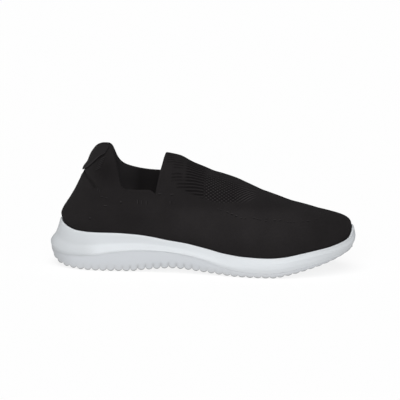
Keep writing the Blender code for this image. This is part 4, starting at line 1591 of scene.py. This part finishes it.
# %% Stitches and knit marks
MARK_COLUMNS = ("station", "height", "to_station", "to_height", "count", "long", "wide", "turn_degrees")
MARK_ROWS = (
    (48.8, 96.8, 53.4, 107.0, 6, 6.6, 0.60, 30.0),
    (108.0, 74.9, 108.0, 74.9, 1, 4.0, 0.70, 0.0),
    (119.5, 74.6, 119.5, 74.6, 1, 4.0, 0.70, 0.0),
    (87.2, 67.0, 95.4, 66.4, 3, 4.4, 0.60, 90.0),
    (118.0, 67.0, 118.0, 67.0, 1, 3.6, 0.60, 90.0),
    (49.3, 77.4, 51.3, 76.8, 2, 2.6, 0.60, 84.0),
    (53.0, 71.2, 57.6, 70.0, 2, 2.8, 0.60, -10.0),
    (56.6, 62.5, 56.6, 62.5, 1, 4.0, 0.70, 0.0),
    (71.4, 66.6, 71.4, 66.6, 1, 1.6, 1.20, 0.0),
    (41.7, 50.0, 41.7, 50.0, 1, 1.6, 1.20, 0.0),
    (163.5, 62.5, 166.5, 61.8, 2, 1.6, 0.60, -10.0),
    (173.0, 60.2, 181.0, 57.4, 3, 2.8, 0.75, -16.0),
    (185.5, 55.6, 189.0, 55.4, 2, 1.8, 0.65, 30.0),
    (198.0, 55.8, 203.5, 54.6, 3, 2.2, 0.65, -8.0),
    (208.7, 53.4, 209.5, 55.4, 2, 1.8, 0.60, 0.0),
    (217.0, 53.8, 222.0, 53.6, 2, 2.8, 0.70, 4.0),
    (229.5, 51.8, 235.0, 51.4, 3, 2.0, 0.60, -6.0),
    (243.0, 51.6, 248.3, 51.7, 2, 2.8, 0.70, 0.0),
    (256.0, 52.8, 259.5, 53.6, 2, 1.8, 0.60, 12.0),
)
MARK_HEIGHT = 0.7
MARK_SINK = 0.05
BEAD_SHADOW_BELOW = 0.85
BEAD_SHADOW_MARGIN = 0.25
FIND_FROM = 0.02
FIND_SPAN = 0.96
FIND_TURNS = 12
FIND_NEAR = 0.002
FIND_MOVES = (0.06, 0.2)
FIND_LIMITS = (0.01, 0.99)


def find_on_upper(station, height):
    """Return the share and rise of the outer side at a station and a height, by a few Newton steps."""
    share = FIND_FROM + FIND_SPAN * station / SOLE_LENGTH
    rise = 0.5

    def miss(at_share, at_rise):
        at = upper_point(OUTER, at_share, at_rise) / MM
        return np.array([at.x + SOLE_LENGTH / 2 - station, at.z - height])

    for _ in range(FIND_TURNS):
        here = miss(share, rise)
        by_share = (miss(share + FIND_NEAR, rise) - here) / FIND_NEAR
        by_rise = (miss(share, rise + FIND_NEAR) - here) / FIND_NEAR
        moves = np.linalg.solve(np.column_stack([by_share, by_rise]), -here)
        moves = [within(float(move), -most, most) for move, most in zip(moves, FIND_MOVES)]
        share = within(share + moves[0], *FIND_LIMITS)
        rise = within(rise + moves[1], *FIND_LIMITS)
    return share, rise


def add_bead(bm, at, outward, long, wide, turn, below, material):
    """Add one small bead that lies on the cloth, turned in its plane and shifted below its place."""
    level = Vector((0.0, 0.0, 1.0)).cross(outward).normalized()
    upright = outward.cross(level)
    length_way = level * math.cos(turn) + upright * math.sin(turn)
    width_way = outward.cross(length_way)
    axes = Matrix((length_way * long / 2, width_way * wide / 2, outward * MARK_HEIGHT / 2)).transposed()
    shift = Matrix.Translation(at - width_way * below * MM)
    matrix = shift @ (axes * MM).to_4x4()
    bead = bmesh.ops.create_icosphere(bm, subdivisions=2, radius=1.0, matrix=matrix)
    for corner in bead["verts"]:
        for face in corner.link_faces:
            face.material_index = material


def add_mark(bm, station, height, long, wide, turn):
    """Add one raised bead of yarn and a dark bead right below it, a painted shadow."""
    share, rise = find_on_upper(station, height)
    at = upper_point(OUTER, share, rise)
    along = upper_point(OUTER, share + SURFACE_STEP, rise) - at
    up = upper_point(OUTER, share, rise + SURFACE_STEP) - at
    outward = along.cross(up).normalized()
    pressed = crease_depth(OUTER, station, at.y / MM, height) + MARK_SINK
    at -= outward * pressed * MM
    add_bead(bm, at, outward, long, wide, turn, below=0.0, material=0)
    add_bead(bm, at, outward, long, wide, turn, below=BEAD_SHADOW_BELOW * (wide + BEAD_SHADOW_MARGIN), material=1)


def make_marks():
    """Join all the beads into one mesh."""
    bm = bmesh.new()
    for mark in named_rows(MARK_COLUMNS, MARK_ROWS):
        turn = math.radians(mark["turn_degrees"])
        for k in range(mark["count"]):
            share = k / max(mark["count"] - 1, 1)
            station = mark["station"] + (mark["to_station"] - mark["station"]) * share
            height = mark["height"] + (mark["to_height"] - mark["height"]) * share
            add_mark(bm, station, height, mark["long"], mark["wide"], turn)
    return finish_piece("knit_marks", bm, [MARK_YARN, MARK_SHADOW])


make_marks()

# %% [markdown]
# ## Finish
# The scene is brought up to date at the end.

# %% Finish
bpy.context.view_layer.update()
